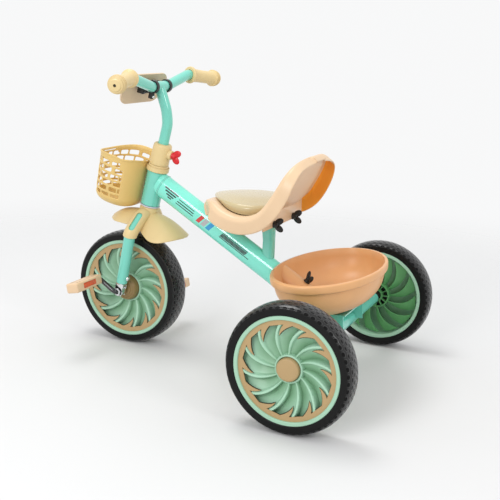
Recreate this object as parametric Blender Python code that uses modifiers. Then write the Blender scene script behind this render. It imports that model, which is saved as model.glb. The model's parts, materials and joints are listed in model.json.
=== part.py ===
"""Child's pedal tricycle: steel tube frame, foam tyres on turbine rims, rear bin, front basket.

Metres, +Z up. The rider faces +Y. The origin is on the ground, at the middle of the object's box.
"""

import math

import bmesh
import bpy
from mathutils import Matrix, Vector

# ---------------------------------------------------------------- driving dimensions (metres, degrees)

GAP = 0.0003            # clearance between neighbouring pieces
WELD = 0.00001          # points closer than this are one
PAST = 0.020            # how far a cutter runs past what it cuts
FULL_TURN = 2 * math.pi

# wheels
WHEELBASE = 0.4725
REAR_TYRE_R = 0.115
REAR_TYRE_W = 0.045
REAR_RIM_R = 0.0955
REAR_TRACK = 0.499      # between the middles of the rear tyres
FRONT_TYRE_R = 0.121
FRONT_TYRE_W = 0.052
FRONT_RIM_R = 0.103
TYRE_SHOULDER = 0.007
TYRE_STEPS = 32
BLADE_COUNT = 12
BLADE_SWEEP = 26        # degrees that a blade turns between hub and rim
BLADE_THICK = 0.006
RIM_WALL = 0.003
RIM_BACK = 0.0025        # closed disc behind the blades
TRIM_INSET = 0.003
TRIM_THICK = 0.0025
HUB_R = 0.017
HUB_CAP_R = 0.0205
HUB_CAP_HEIGHT = 0.0085
FRONT_HUB_R = 0.0265
FRONT_HUB_CORE_R = 0.022
FRONT_HUB_FACE = 0.015  # from the middle of the wheel
HUB_COVER_HEIGHT = 0.019

# rear axle
AXLE_R = 0.005
CROSS_TUBE_R = 0.0125
CROSS_TUBE_LENGTH = 0.408
TUBE_WALL = 0.0015
BUSH_FLANGE = 0.004
BUSH_DEPTH = 0.018
AXLE_NUT_R = 0.008
AXLE_NUT_LENGTH = 0.006

# main tube, an upright oval
MAIN_TUBE_HEIGHT = 0.0475
MAIN_TUBE_WIDTH = 0.038
MAIN_TUBE_JOIN = 0.241  # height of its end along the steering axis

# steering head, heights are along the steering axis from the front axle
HEAD_ANGLE = 13.5
HEAD_TUBE_R = 0.020
HEAD_TUBE_BOTTOM = 0.1877
HEAD_TUBE_LENGTH = 0.073
HEAD_RING = 0.003
HEAD_COVER_R = 0.0208
HEAD_COVER_HEIGHT = 0.0140
COLLAR_R = 0.0200
COLLAR_HEIGHT = 0.0440
STEERER_R = 0.0140

# fork
FORK_TUBE_R = 0.0115
FORK_SPREAD = 0.0550    # from the middle to a leg
FORK_FOOT_SPREAD = 0.0465
FORK_SHOULDER = 0.132
FORK_CROWN = 0.1680
FORK_FOOT = 0.0200
FORK_BEND = 0.024
SLEEVE_END = 0.126
SLEEVE_WALL = 0.0030
BRACKET_R = 0.0110

# crank and pedals
CRANK_R = 0.0050
CRANK_THROW = 0.048
CRANK_ANGLE = 32        # of the left crank, above straight ahead
CRANK_OFFSET = 0.0640
PEDAL_LENGTH = 0.085
PEDAL_WIDTH = 0.028
PEDAL_THICK = 0.020
REFLECTOR_LENGTH = 0.040
REFLECTOR_THICK = 0.0022

# handlebar
STEM_R = 0.0108
BAR_R = 0.0105
BAR_HALF_WIDTH = 0.1925
BAR_HEIGHT = 0.4265
BAR_REACH = 0.036
BAR_RISE = 0.020
BAR_SWEEP = 0.0215
GRIP_LENGTH = 0.084
GRIP_R = 0.0135
GRIP_FLANGE_R = 0.0175
CLAMP_SPACING = 0.049
CLAMP_WIDTH = 0.008
CLAMP_WALL = 0.0028
PLATE_WIDTH = 0.156
PLATE_HEIGHT = 0.066
PLATE_THICK = 0.0035
PLATE_TILT = 14         # top leans back, against the steering axis
PLATE_REACH = 0.034     # ahead of the bar

# seat
SEAT_POST_Y = 0.158
SEAT_HEIGHT = 0.325
SEAT_LENGTH = 0.140
SEAT_WIDTH = 0.222
SEAT_BACK_HEIGHT = 0.124
SEAT_BACK_LEAN = 0.085
SEAT_SKIRT = 0.031
SEAT_WALL = 0.003
SEAT_FRONT_Y = 0.268
SEAT_COLUMNS = [-1.0, -0.86, -0.6, -0.3, 0.0, 0.3, 0.6, 0.86, 1.0]          # shares of the half width
SEAT_DISH = [0.0015, 0.0, 0.006, 0.008, 0.008, 0.008, 0.006, 0.0, 0.0015]   # hollow at each of them
PAD_CROWN = 0.027
WING_NUT_SPACING = 0.092
WING_STUD_R = 0.003

# bin
BIN_LENGTH = 0.336      # across the tricycle
BIN_WIDTH = 0.204
BIN_TOP = 0.2299
BIN_DEPTH = 0.078
BIN_PITCH = 4.5         # degrees that its back is tipped up
BIN_Y = 0.0278
BIN_WALL = 0.003
BIN_RIM_HEIGHT = 0.014
BIN_RIM_WIDTH = 0.011
BIN_SCREW_Y = 0.088
BIN_BRACKET_WIDTH = 0.120
BOSS_WALL = 0.0035

# basket
BASKET_WIDTH = 0.134
BASKET_LENGTH = 0.096
BASKET_HEIGHT = 0.104
BASKET_TOP = 0.2760
BASKET_WALL = 0.0025

# fender
FENDER_WALL = 0.0025
FENDER_WIDTH = 0.104

# worked out from the sizes above
REAR_AXLE_Y = -(WHEELBASE + FRONT_TYRE_R - REAR_TYRE_R) / 2
FRONT_AXLE_Y = REAR_AXLE_Y + WHEELBASE
HEAD_TUBE_TOP = HEAD_TUBE_BOTTOM + HEAD_TUBE_LENGTH
COLLAR_BOTTOM = HEAD_TUBE_TOP + HEAD_COVER_HEIGHT + GAP
COLLAR_TOP = COLLAR_BOTTOM + COLLAR_HEIGHT
HUB_FACE = REAR_TYRE_W / 2 - 0.0185    # from the middle of a rear wheel to its hub's outer face


# ---------------------------------------------------------------- scene and materials

def clear_scene():
    for thing in list(bpy.data.objects):
        bpy.data.objects.remove(thing, do_unlink=True)


def make_collection(name):
    group = bpy.data.collections.new(name)
    bpy.context.scene.collection.children.link(group)
    return group


def make_material(name, colour, roughness, metallic=0.0):
    material = bpy.data.materials.new(name)
    material.use_nodes = True
    shader = material.node_tree.nodes["Principled BSDF"]
    shader.inputs["Base Color"].default_value = (*colour, 1.0)
    shader.inputs["Roughness"].default_value = roughness
    shader.inputs["Metallic"].default_value = metallic
    return material


clear_scene()
PARTS = make_collection("pedal_tricycle")
CUTTERS = make_collection("cutters")

MINT_PAINT = make_material("mint_paint", (0.23, 0.72, 0.60), 0.25)
MINT_PLASTIC = make_material("mint_plastic", (0.25, 0.58, 0.42), 0.45)
TAN_PLASTIC = make_material("tan_plastic", (0.68, 0.47, 0.26), 0.45)
CREAM_PLASTIC = make_material("cream_plastic", (0.80, 0.66, 0.38), 0.40)
YELLOW_PLASTIC = make_material("yellow_plastic", (0.82, 0.60, 0.25), 0.45)
PEACH_PLASTIC = make_material("peach_plastic", (0.85, 0.60, 0.40), 0.40)
BIN_PLASTIC = make_material("bin_plastic", (0.88, 0.55, 0.30), 0.40)
PAD_VINYL = make_material("pad_vinyl", (0.74, 0.66, 0.44), 0.25)
PLATE_PLASTIC = make_material("plate_plastic", (0.72, 0.58, 0.44), 0.45)
BLACK_PLASTIC = make_material("black_plastic", (0.02, 0.02, 0.02), 0.40)
TYRE_FOAM = make_material("tyre_foam", (0.03, 0.03, 0.03), 0.65)
CHROME = make_material("chrome", (0.80, 0.80, 0.82), 0.15, 1.0)
RED_PLASTIC = make_material("red_plastic", (0.75, 0.05, 0.05), 0.35)
REFLECTOR = make_material("reflector", (0.80, 0.16, 0.04), 0.20)
GREY_PLASTIC = make_material("grey_plastic", (0.62, 0.60, 0.66), 0.40)
BLACK_STEEL = make_material("black_steel", (0.02, 0.02, 0.02), 0.30, 0.6)


# ---------------------------------------------------------------- shape helpers

def add_empty(name, location=(0, 0, 0), rotation=(0, 0, 0), parent=None):
    empty = bpy.data.objects.new(name, None)
    empty.location = location
    empty.rotation_euler = rotation
    empty.parent = parent
    PARTS.objects.link(empty)
    return empty


def add_piece(name, mesh, material, parent=None, location=(0, 0, 0), rotation=(0, 0, 0)):
    piece = bpy.data.objects.new(name, mesh)
    if not mesh.materials:
        mesh.materials.append(material)
    piece.parent = parent
    piece.location = location
    piece.rotation_euler = rotation
    PARTS.objects.link(piece)
    return piece


def finish_mesh(name, bm):
    bmesh.ops.remove_doubles(bm, verts=bm.verts, dist=WELD)
    bmesh.ops.recalc_face_normals(bm, faces=bm.faces)
    mesh = bpy.data.meshes.new(name)
    bm.to_mesh(mesh)
    bm.free()
    mesh.shade_smooth()
    mesh.set_sharp_from_angle(angle=math.radians(35))
    return mesh


def as_cutter(piece):
    for group in list(piece.users_collection):
        group.objects.unlink(piece)
    CUTTERS.objects.link(piece)
    piece.hide_render = True
    piece.display_type = "WIRE"
    return piece


def boolean(piece, other, operation):
    modifier = piece.modifiers.new(operation.lower() + "_" + other.name, "BOOLEAN")
    modifier.operation = operation
    modifier.object = other
    modifier.solver = "EXACT"
    return piece


def cut(piece, cutter):
    return boolean(piece, as_cutter(cutter), "DIFFERENCE")


def join(piece, other):
    return boolean(piece, as_cutter(other), "UNION")


def turned(name, profile, material, parent=None, location=(0, 0, 0), rotation=(0, 0, 0), steps=32,
           closed=True):
    """A profile of (radius, height) points, outer side running down, turned about local Z."""
    mesh = bpy.data.meshes.new(name)
    count = len(profile)
    edges = [(i, i + 1) for i in range(count - 1)]
    if closed:
        edges.append((count - 1, 0))
    mesh.from_pydata([(r, 0, z) for r, z in profile], edges, [])
    piece = add_piece(name, mesh, material, parent, location, rotation)
    screw = piece.modifiers.new("turn", "SCREW")
    screw.steps = steps
    screw.render_steps = steps
    screw.use_merge_vertices = True
    screw.merge_threshold = WELD
    screw.use_smooth_shade = True
    return piece


def ring(name, inner, outer, bottom, top, material, **place):
    return turned(name, [(inner, top), (outer, top), (outer, bottom), (inner, bottom)], material, **place)


def rod(name, radius, bottom, top, material, **place):
    profile = [(0, top), (radius, top), (radius, bottom), (0, bottom)]
    return turned(name, profile, material, closed=False, **place)


def rounded_path(points, radius, steps=5):
    """A polyline whose inner corners are replaced by arcs of about this radius."""
    points = [Vector(p) for p in points]
    path = [points[0]]
    for before, corner, after in zip(points, points[1:], points[2:]):
        into = (corner - before).normalized()
        away = (after - corner).normalized()
        turn = into.angle(away)
        if turn < 0.01:
            path.append(corner)
            continue
        room = min((corner - before).length, (after - corner).length) * 0.49
        reach = min(radius * math.tan(turn / 2), room)
        start = corner - into * reach
        end = corner + away * reach
        for i in range(steps + 1):
            t = i / steps
            path.append(start * (1 - t) ** 2 + corner * 2 * t * (1 - t) + end * t ** 2)
    path.append(points[-1])
    return path


def tube_mesh(name, points, radius, sides):
    curve = bpy.data.curves.new(name + "_line", "CURVE")
    curve.dimensions = "3D"
    curve.bevel_depth = radius
    curve.bevel_resolution = (sides - 4) // 2
    curve.use_fill_caps = True
    spline = curve.splines.new("POLY")
    spline.points.add(len(points) - 1)
    for target, point in zip(spline.points, points):
        target.co = (*point, 1.0)
    holder = bpy.data.objects.new(name + "_line", curve)
    PARTS.objects.link(holder)
    graph = bpy.context.evaluated_depsgraph_get()
    mesh = bpy.data.meshes.new_from_object(holder.evaluated_get(graph))
    bpy.data.objects.remove(holder, do_unlink=True)
    bm = bmesh.new()
    bm.from_mesh(mesh)
    bpy.data.meshes.remove(mesh)
    return finish_mesh(name, bm)


def tube(name, points, radius, material, parent=None, sides=16, **place):
    return add_piece(name, tube_mesh(name, points, radius, sides), material, parent, **place)


def flat_shape(name, outlines, thickness, material, parent=None, **place):
    """A flat plate in local XY from closed outlines: the first is the edge, the others are openings."""
    curve = bpy.data.curves.new(name + "_outline", "CURVE")
    curve.dimensions = "2D"
    curve.fill_mode = "BOTH"
    curve.extrude = thickness / 2
    for outline in outlines:
        spline = curve.splines.new("POLY")
        spline.points.add(len(outline) - 1)
        for target, (x, y) in zip(spline.points, outline):
            target.co = (x, y, 0, 1)
        spline.use_cyclic_u = True
    holder = bpy.data.objects.new(name + "_outline", curve)
    PARTS.objects.link(holder)
    graph = bpy.context.evaluated_depsgraph_get()
    mesh = bpy.data.meshes.new_from_object(holder.evaluated_get(graph))
    bpy.data.objects.remove(holder, do_unlink=True)
    bm = bmesh.new()
    bm.from_mesh(mesh)
    bpy.data.meshes.remove(mesh)
    return add_piece(name, finish_mesh(name, bm), material, parent, **place)


def block(name, size, material, parent=None, bevel=0.0, **place):
    bm = bmesh.new()
    bmesh.ops.create_cube(bm, size=1.0)
    bmesh.ops.scale(bm, vec=size, verts=bm.verts)
    if bevel:
        bmesh.ops.bevel(bm, geom=bm.edges[:], offset=bevel, segments=1, profile=0.5, affect="EDGES")
    return add_piece(name, finish_mesh(name, bm), material, parent, **place)


def loft(name, rings, material, parent=None, **place):
    """Skins rings of equal count, in order; the end rings are capped to make a closed body."""
    bm = bmesh.new()
    loops = [[bm.verts.new(p) for p in points] for points in rings]
    count = len(loops[0])
    for low, high in zip(loops, loops[1:]):
        for i in range(count):
            j = (i + 1) % count
            bm.faces.new((low[i], low[j], high[j], high[i]))
    bm.faces.new(list(reversed(loops[0])))
    bm.faces.new(loops[-1])
    return add_piece(name, finish_mesh(name, bm), material, parent, **place)


def oval(half_x, half_y, z=0.0, steps=24, power=2.0, centre_y=0.0):
    points = []
    for i in range(steps):
        angle = FULL_TURN * i / steps
        c = math.cos(angle)
        s = math.sin(angle)
        x = half_x * math.copysign(abs(c) ** (2 / power), c)
        y = half_y * math.copysign(abs(s) ** (2 / power), s)
        points.append((x, centre_y + y, z))
    return points


def smooth_between(stations, t):
    """Smooth (Catmull-Rom) value at t from 0 to 1 through evenly spaced stations."""
    span = (len(stations) - 1) * t
    i = min(int(span), len(stations) - 2)
    f = span - i
    p0 = Vector(stations[max(i - 1, 0)])
    p1 = Vector(stations[i])
    p2 = Vector(stations[i + 1])
    p3 = Vector(stations[min(i + 2, len(stations) - 1)])
    return 0.5 * ((2 * p1) + (p2 - p0) * f + (2 * p0 - 5 * p1 + 4 * p2 - p3) * f ** 2
                  + (3 * p1 - p0 - 3 * p2 + p3) * f ** 3)


# ---------------------------------------------------------------- datums

ON_AXLE = (0, math.radians(90), 0)          # local Z along +X
ACROSS = (math.radians(90), math.radians(-90), 0)   # local Z backwards, ears of a wing screw upright
HALF_STEP = math.radians(180 / TYRE_STEPS)  # puts a flat of the tyre on the ground

REAR = add_empty("rear_datum", (0, REAR_AXLE_Y, 0))
HEAD = add_empty("steering_axis", (0, FRONT_AXLE_Y, FRONT_TYRE_R), (math.radians(HEAD_ANGLE), 0, 0))
FRONT_HUB = add_empty("front_axle", (0, FRONT_AXLE_Y, FRONT_TYRE_R), ON_AXLE)


def rear_hub(side):
    name = "rear_axle_left" if side < 0 else "rear_axle_right"
    turn = (0, math.radians(90) * side, 0)
    return add_empty(name, (side * REAR_TRACK / 2, 0, REAR_TYRE_R), turn, REAR)


# ---------------------------------------------------------------- wheels

def tyre(name, outer, rim_r, width, hub):
    """Flat sides, rounded shoulders; the flats of its turned surface lie at the true radius."""
    half = width / 2
    grow = 1 / math.cos(math.pi / TYRE_STEPS)
    shoulder = outer - TYRE_SHOULDER
    profile = [
        (rim_r - RIM_WALL + GAP, half - RIM_WALL - GAP),
        (rim_r + GAP, half - RIM_WALL - GAP),
        (rim_r + GAP, half),
        (shoulder * grow, half),
        (outer * grow, half - TYRE_SHOULDER),
    ]
    mirrored = [(r, -z) for r, z in reversed(profile)]
    return turned(name, profile + mirrored, TYRE_FOAM, hub, rotation=(0, 0, HALF_STEP), steps=TYRE_STEPS)


def polar(radius, degrees):
    return (radius * math.cos(math.radians(degrees)), radius * math.sin(math.radians(degrees)))


def circle(radius, steps):
    return [polar(radius, 360 * i / steps) for i in range(steps)]


def blade_window(inner, outer, index, sweep, clearance):
    """One opening between two swept blades, as an outline running round it."""
    pitch = 360 / BLADE_COUNT
    steps = 2
    left = []
    right = []
    for i in range(steps + 1):
        t = i / steps
        r = inner + (outer - inner) * t
        edge = math.degrees(clearance / r)
        left.append(polar(r, index * pitch + sweep * t + edge))
        right.append(polar(r, (index + 1) * pitch + sweep * t - edge))
    return left + list(reversed(right))


def bladed_rim(name, rim_r, width, hub_radius, hub_low, hub_high, back, faces, sweep, hub):
    """Barrel with a lip at each side, a closed disc, swept blades on it and a hub.

    Each of faces is (how far out the blades stand, how far out the floor of the recess round the hub is).
    """
    half = width / 2
    barrel_r = rim_r - RIM_WALL
    bore_r = barrel_r - 2 * RIM_WALL
    barrel = [
        (bore_r, half), (rim_r, half), (rim_r, half - RIM_WALL), (barrel_r, half - RIM_WALL),
        (barrel_r, -half + RIM_WALL), (rim_r, -half + RIM_WALL), (rim_r, -half), (bore_r, -half),
    ]
    wheel = turned(name, barrel, MINT_PLASTIC, hub, rotation=(0, 0, HALF_STEP), steps=TYRE_STEPS)
    low = min([back] + [edge for edge, floor in faces])
    high = max([back] + [edge for edge, floor in faces])
    windows = [blade_window(hub_radius + 3 * RIM_WALL, bore_r - RIM_WALL, i, sweep, BLADE_THICK / 2)
               for i in range(BLADE_COUNT)]
    outlines = [circle(barrel_r - RIM_WALL / 2, 24)] + windows
    join(wheel, flat_shape(name + "_web", outlines, high - low, MINT_PLASTIC, hub,
                           location=(0, 0, (low + high) / 2)))
    join(wheel, rod(name + "_back", barrel_r - RIM_WALL, back - RIM_BACK / 2, back + RIM_BACK / 2,
                    MINT_PLASTIC, parent=hub, steps=24))
    for index, (edge, floor) in enumerate(faces):
        ends = sorted((floor, edge + math.copysign(PAST, edge)))
        cut(wheel, rod(f"{name}_recess_{index}", hub_radius + 2 * RIM_WALL, *ends, MINT_PLASTIC, parent=hub,
                       steps=20))
    join(wheel, rod(name + "_core", hub_radius, hub_low, hub_high, MINT_PLASTIC, parent=hub, steps=16))
    cut(wheel, rod(name + "_bore", AXLE_R + GAP, -half - PAST, half + PAST, MINT_PLASTIC, parent=hub,
                   steps=12))


def trim_ring(name, rim_r, low, sweep, hub):
    """Flat ring with a saw tooth running in along each blade."""
    outer = rim_r - 3 * RIM_WALL - 0.0008
    valley = outer * 0.92
    tip = outer * 0.70
    lean = math.copysign(8, sweep)
    inner = []
    for i in range(BLADE_COUNT):
        root = 360 * i / BLADE_COUNT + sweep * 0.61
        tooth = [polar(valley, root + lean), polar(tip, root), polar(valley, root + 2.4 * lean)]
        inner += tooth if sweep > 0 else reversed(tooth)
    return flat_shape(name, [circle(outer, 24), inner], TRIM_THICK, TAN_PLASTIC, hub,
                      location=(0, 0, low + TRIM_THICK / 2))


def build_rear_wheel(side):
    tag = "left" if side < 0 else "right"
    hub = rear_hub(side)
    half = REAR_TYRE_W / 2
    tyre(f"rear_tyre_{tag}", REAR_TYRE_R, REAR_RIM_R, REAR_TYRE_W, hub)
    trim_low = half - TRIM_INSET - TRIM_THICK
    dish_floor = HUB_FACE - 0.001
    bladed_rim(f"rear_rim_{tag}", REAR_RIM_R, REAR_TYRE_W, HUB_R, -half, HUB_FACE, -0.004,
               [(trim_low - GAP, dish_floor)], -BLADE_SWEEP, hub)
    trim_ring(f"rear_trim_{tag}", REAR_RIM_R, trim_low, -BLADE_SWEEP, hub)
    nut_bore = (AXLE_R + GAP) / math.cos(math.radians(30))
    ring(f"axle_nut_{tag}", nut_bore, AXLE_NUT_R, HUB_FACE + GAP, HUB_FACE + AXLE_NUT_LENGTH, CHROME,
         parent=hub, steps=6)
    top = HUB_FACE + HUB_CAP_HEIGHT
    cap = [
        (0, top), (HUB_CAP_R - 0.003, top), (HUB_CAP_R, top - 0.002), (HUB_CAP_R, dish_floor + GAP),
        (HUB_R + GAP, dish_floor + GAP), (HUB_R + GAP, HUB_FACE + GAP), (AXLE_NUT_R + 0.002, HUB_FACE + GAP),
        (AXLE_NUT_R + 0.002, top - 0.0015), (0, top - 0.0015),
    ]
    turned(f"hub_cap_{tag}", cap, TAN_PLASTIC, hub, closed=False, steps=16)


def build_rear_axle():
    half_track = REAR_TRACK / 2
    nut_end = half_track + HUB_FACE + AXLE_NUT_LENGTH
    rod("rear_axle", AXLE_R, -nut_end, nut_end, CHROME, parent=REAR, location=(0, 0, REAR_TYRE_R),
        rotation=ON_AXLE, steps=16)
    wheel_face = half_track - REAR_TYRE_W / 2 - GAP
    tube_end = CROSS_TUBE_LENGTH / 2
    sleeve_r = CROSS_TUBE_R - TUBE_WALL - GAP
    for side, tag in ((-1, "left"), (1, "right")):
        bush = [
            (AXLE_R + GAP, wheel_face), (0.009, wheel_face), (0.009, tube_end + BUSH_FLANGE),
            (CROSS_TUBE_R, tube_end + BUSH_FLANGE), (CROSS_TUBE_R, tube_end + GAP),
            (sleeve_r, tube_end + GAP),
            (sleeve_r, tube_end - BUSH_DEPTH), (AXLE_R + GAP, tube_end - BUSH_DEPTH),
        ]
        turned(f"axle_bush_{tag}", bush, BLACK_PLASTIC, REAR, location=(0, 0, REAR_TYRE_R),
               rotation=(0, math.radians(90) * side, 0), steps=12)


def build_front_wheel():
    half = FRONT_TYRE_W / 2
    tyre("front_tyre", FRONT_TYRE_R, FRONT_RIM_R, FRONT_TYRE_W, FRONT_HUB)
    trim_low = half - TRIM_INSET - TRIM_THICK
    face = trim_low - GAP
    bladed_rim("front_rim", FRONT_RIM_R, FRONT_TYRE_W, FRONT_HUB_CORE_R, -FRONT_HUB_FACE, FRONT_HUB_FACE, 0.0,
               [(face, FRONT_HUB_FACE - 0.002), (-face, -FRONT_HUB_FACE + 0.002)], BLADE_SWEEP, FRONT_HUB)
    trim_ring("front_trim_right", FRONT_RIM_R, trim_low, BLADE_SWEEP, FRONT_HUB)
    trim_ring("front_trim_left", FRONT_RIM_R, -trim_low - TRIM_THICK, BLADE_SWEEP, FRONT_HUB)
    low = FRONT_HUB_FACE - 0.002 + GAP
    top = FRONT_HUB_FACE + HUB_COVER_HEIGHT
    for side, tag in ((-1, "left"), (1, "right")):
        cover = [
            (AXLE_R + GAP, top), (FRONT_HUB_R * 0.5, top), (FRONT_HUB_R * 0.85, top - 0.004),
            (FRONT_HUB_R, top - 0.010), (FRONT_HUB_R, low), (FRONT_HUB_CORE_R + GAP, low),
            (FRONT_HUB_CORE_R + GAP, FRONT_HUB_FACE + GAP), (AXLE_R + GAP, FRONT_HUB_FACE + GAP),
        ]
        turned(f"front_hub_cover_{tag}", cover, TAN_PLASTIC, FRONT_HUB,
               rotation=(0, math.radians(90) * (1 - side), 0), steps=16)


# ---------------------------------------------------------------- crank and pedals

def crank_direction():
    angle = math.radians(CRANK_ANGLE)
    return Vector((0, math.cos(angle), math.sin(angle)))


def build_crank():
    """One rod, bent into a crank and a pedal pin at each end, half a turn apart."""
    throw = crank_direction() * CRANK_THROW
    pin_end = CRANK_OFFSET + PEDAL_LENGTH - 0.006
    corners = [Vector((-pin_end, 0, 0)) + throw, Vector((-CRANK_OFFSET, 0, 0)) + throw,
               Vector((-CRANK_OFFSET, 0, 0)), Vector((CRANK_OFFSET, 0, 0)),
               Vector((CRANK_OFFSET, 0, 0)) - throw, Vector((pin_end, 0, 0)) - throw]
    tube("crank_axle", rounded_path(corners, 0.008, 2), CRANK_R, BLACK_STEEL, sides=8,
         location=(0, FRONT_AXLE_Y, FRONT_TYRE_R))


def build_pedal(side):
    """A slotted block on the pin, with a reflector let into its front and back."""
    tag = "left" if side < 0 else "right"
    throw = crank_direction() * CRANK_THROW * -side
    inner = CRANK_OFFSET + 0.008
    middle = side * (inner + PEDAL_LENGTH / 2)
    pivot = add_empty(f"pedal_pin_{tag}", Vector((middle, FRONT_AXLE_Y, FRONT_TYRE_R)) + throw,
                      (math.radians(-12), 0, 0))
    body = block(f"pedal_{tag}", (PEDAL_LENGTH, PEDAL_WIDTH, PEDAL_THICK), PEACH_PLASTIC, pivot, bevel=0.003)
    cut(body, rod(f"pedal_bore_{tag}", CRANK_R + 2 * GAP, -PEDAL_LENGTH, PEDAL_LENGTH, PEACH_PLASTIC,
                  parent=pivot, rotation=ON_AXLE, steps=16))
    for face, where in ((-1, "back"), (1, "front")):
        depth = REFLECTOR_THICK
        height = PEDAL_THICK * 0.5
        centre = face * (PEDAL_WIDTH / 2 - depth / 2)
        pocket = block(f"pocket_{where}_{tag}", (REFLECTOR_LENGTH + 2 * GAP, depth * 2, height + 2 * GAP),
                       PEACH_PLASTIC, pivot, location=(0, face * (PEDAL_WIDTH / 2), 0))
        cut(body, pocket)
        block(f"reflector_{where}_{tag}", (REFLECTOR_LENGTH, depth - GAP, height), REFLECTOR, pivot,
              location=(0, centre + face * 0.0008, 0))


# ---------------------------------------------------------------- frame

def head_point(height, forward=0.0, side=0.0):
    """A point given along the steering axis, ahead of it and to its right, in world metres."""
    return HEAD.matrix_basis @ Vector((side, forward, height))


def build_head():
    top = HEAD_TUBE_TOP
    ring("head_tube", STEERER_R + 2 * GAP, HEAD_TUBE_R, HEAD_TUBE_BOTTOM, top, MINT_PAINT, parent=HEAD,
         steps=24)
    ring("head_ring", STEERER_R + 2 * GAP, HEAD_TUBE_R + 0.0012, HEAD_TUBE_BOTTOM - HEAD_RING,
         HEAD_TUBE_BOTTOM - GAP, GREY_PLASTIC, parent=HEAD, steps=24)
    cover = [
        (STEERER_R + 2 * GAP, top + HEAD_COVER_HEIGHT),
        (HEAD_COVER_R - 0.001, top + HEAD_COVER_HEIGHT),
        (HEAD_COVER_R, top + HEAD_COVER_HEIGHT - 0.001),
        (HEAD_COVER_R + 0.0004, top + GAP),
        (STEERER_R + 2 * GAP, top + GAP),
    ]
    turned("head_cover", cover, CREAM_PLASTIC, HEAD, steps=24)


def main_tube_line():
    """The tube's start at the rear axle and the unit direction up to the head."""
    start = Vector((0, REAR_AXLE_Y, REAR_TYRE_R))
    return start, (head_point(MAIN_TUBE_JOIN) - start).normalized()


def main_tube_height(y):
    """Height of the tube's middle line above the ground, y metres ahead of the rear axle."""
    start, along = main_tube_line()
    return start.z + along.z / along.y * y


def main_tube_solid(name, grow, extra=0.0):
    """An oval tube along the main line, each half axis grown by grow."""
    start, along = main_tube_line()
    length = (head_point(MAIN_TUBE_JOIN) - start).length - HEAD_TUBE_R * 0.3
    tilt = math.atan2(along.z, along.y) - math.pi / 2
    half_x = MAIN_TUBE_WIDTH / 2 + grow
    half_y = MAIN_TUBE_HEIGHT / 2 + grow
    rings = [oval(half_x, half_y, -extra, 28), oval(half_x, half_y, length + extra, 28)]
    return loft(name, rings, MINT_PAINT, None, location=start, rotation=(tilt, 0, 0))


def build_main_tube():
    body = main_tube_solid("main_tube", 0.0)
    cut(body, main_tube_solid("main_tube_bore", -TUBE_WALL, 0.02))
    cut(body, rod("head_notch", HEAD_TUBE_R + GAP, 0.1, 0.4, MINT_PAINT, parent=HEAD, steps=24))
    cut(body, rod("axle_notch", CROSS_TUBE_R + GAP, -0.2, 0.2, MINT_PAINT, parent=REAR,
                  location=(0, 0, REAR_TYRE_R), rotation=ON_AXLE, steps=24))


def build_cross_tube():
    half = CROSS_TUBE_LENGTH / 2
    ring("rear_cross_tube", CROSS_TUBE_R - TUBE_WALL, CROSS_TUBE_R, -half, half, MINT_PAINT, parent=REAR,
         location=(0, 0, REAR_TYRE_R), rotation=ON_AXLE, steps=24)


def build_seat_post():
    """A flattened post on the main tube that widens into the seat's flat bracket."""
    foot = main_tube_height(SEAT_POST_Y)
    plate_top = SEAT_HEIGHT - SEAT_WALL - 0.010
    sections = [
        (foot, 0.0100, 0.0120, 0.0),
        (foot + 0.055, 0.0100, 0.0115, -0.001),
        (plate_top - 0.030, 0.0120, 0.0125, 0.0),
        (plate_top - 0.016, 0.0180, 0.0175, 0.003),
        (plate_top - 0.0015, 0.0240, 0.0210, 0.004),
    ]
    rings = [oval(half_x, half_y, z, 20, 3.0, SEAT_POST_Y + shift) for z, half_x, half_y, shift in sections]
    post = loft("seat_post", rings, MINT_PAINT, REAR)
    cut(post, main_tube_solid("post_notch", GAP))
    plate = block("seat_bracket", (WING_NUT_SPACING + 0.026, 0.052, 0.003), MINT_PAINT, REAR,
                  location=(0, SEAT_POST_Y, plate_top - 0.0015))
    join(post, plate)
    tab = block("seat_bracket_tab", (WING_NUT_SPACING + 0.026, 0.003, 0.014), MINT_PAINT, REAR,
                location=(0, SEAT_POST_Y - 0.0245, plate_top - 0.007))
    join(post, tab)
    for side in (-1, 1):
        cut(post, rod(f"bracket_hole_{side}", WING_STUD_R + 2 * GAP, 0, 0.02, MINT_PAINT, parent=REAR,
                      location=(side * WING_NUT_SPACING / 2, SEAT_POST_Y - 0.0145, stud_height()),
                      rotation=(math.radians(90), 0, 0), steps=12))
    return post


def stud_height():
    """Height of the two studs that hold the seat to its bracket."""
    return SEAT_HEIGHT - 0.0195


# ---------------------------------------------------------------- seat

def seat_path(t):
    """Middle line of the seat's top, from its front edge to the top of the back, as (y, z)."""
    front = SEAT_FRONT_Y
    low = SEAT_HEIGHT
    knee = front - SEAT_LENGTH
    stations = [
        (front, low + 0.022),
        (front - 0.18 * SEAT_LENGTH, low + 0.023),
        (front - 0.40 * SEAT_LENGTH, low + 0.006),
        (front - 0.63 * SEAT_LENGTH, low),
        (front - 0.84 * SEAT_LENGTH, low + 0.005),
        (knee, low + 0.18 * SEAT_BACK_HEIGHT),
        (knee - 0.26 * SEAT_BACK_LEAN, low + 0.44 * SEAT_BACK_HEIGHT),
        (knee - 0.50 * SEAT_BACK_LEAN, low + 0.72 * SEAT_BACK_HEIGHT),
        (knee - 0.66 * SEAT_BACK_LEAN, low + 0.87 * SEAT_BACK_HEIGHT),
        (knee - 0.76 * SEAT_BACK_LEAN, low + 0.945 * SEAT_BACK_HEIGHT),
    ]
    return smooth_between(stations, t)


def seat_normal(t):
    step = 0.01
    ahead = seat_path(max(t - step, 0))
    behind = seat_path(min(t + step, 1))
    along = (behind - ahead).normalized()
    return Vector((along.y, -along.x))


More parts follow.
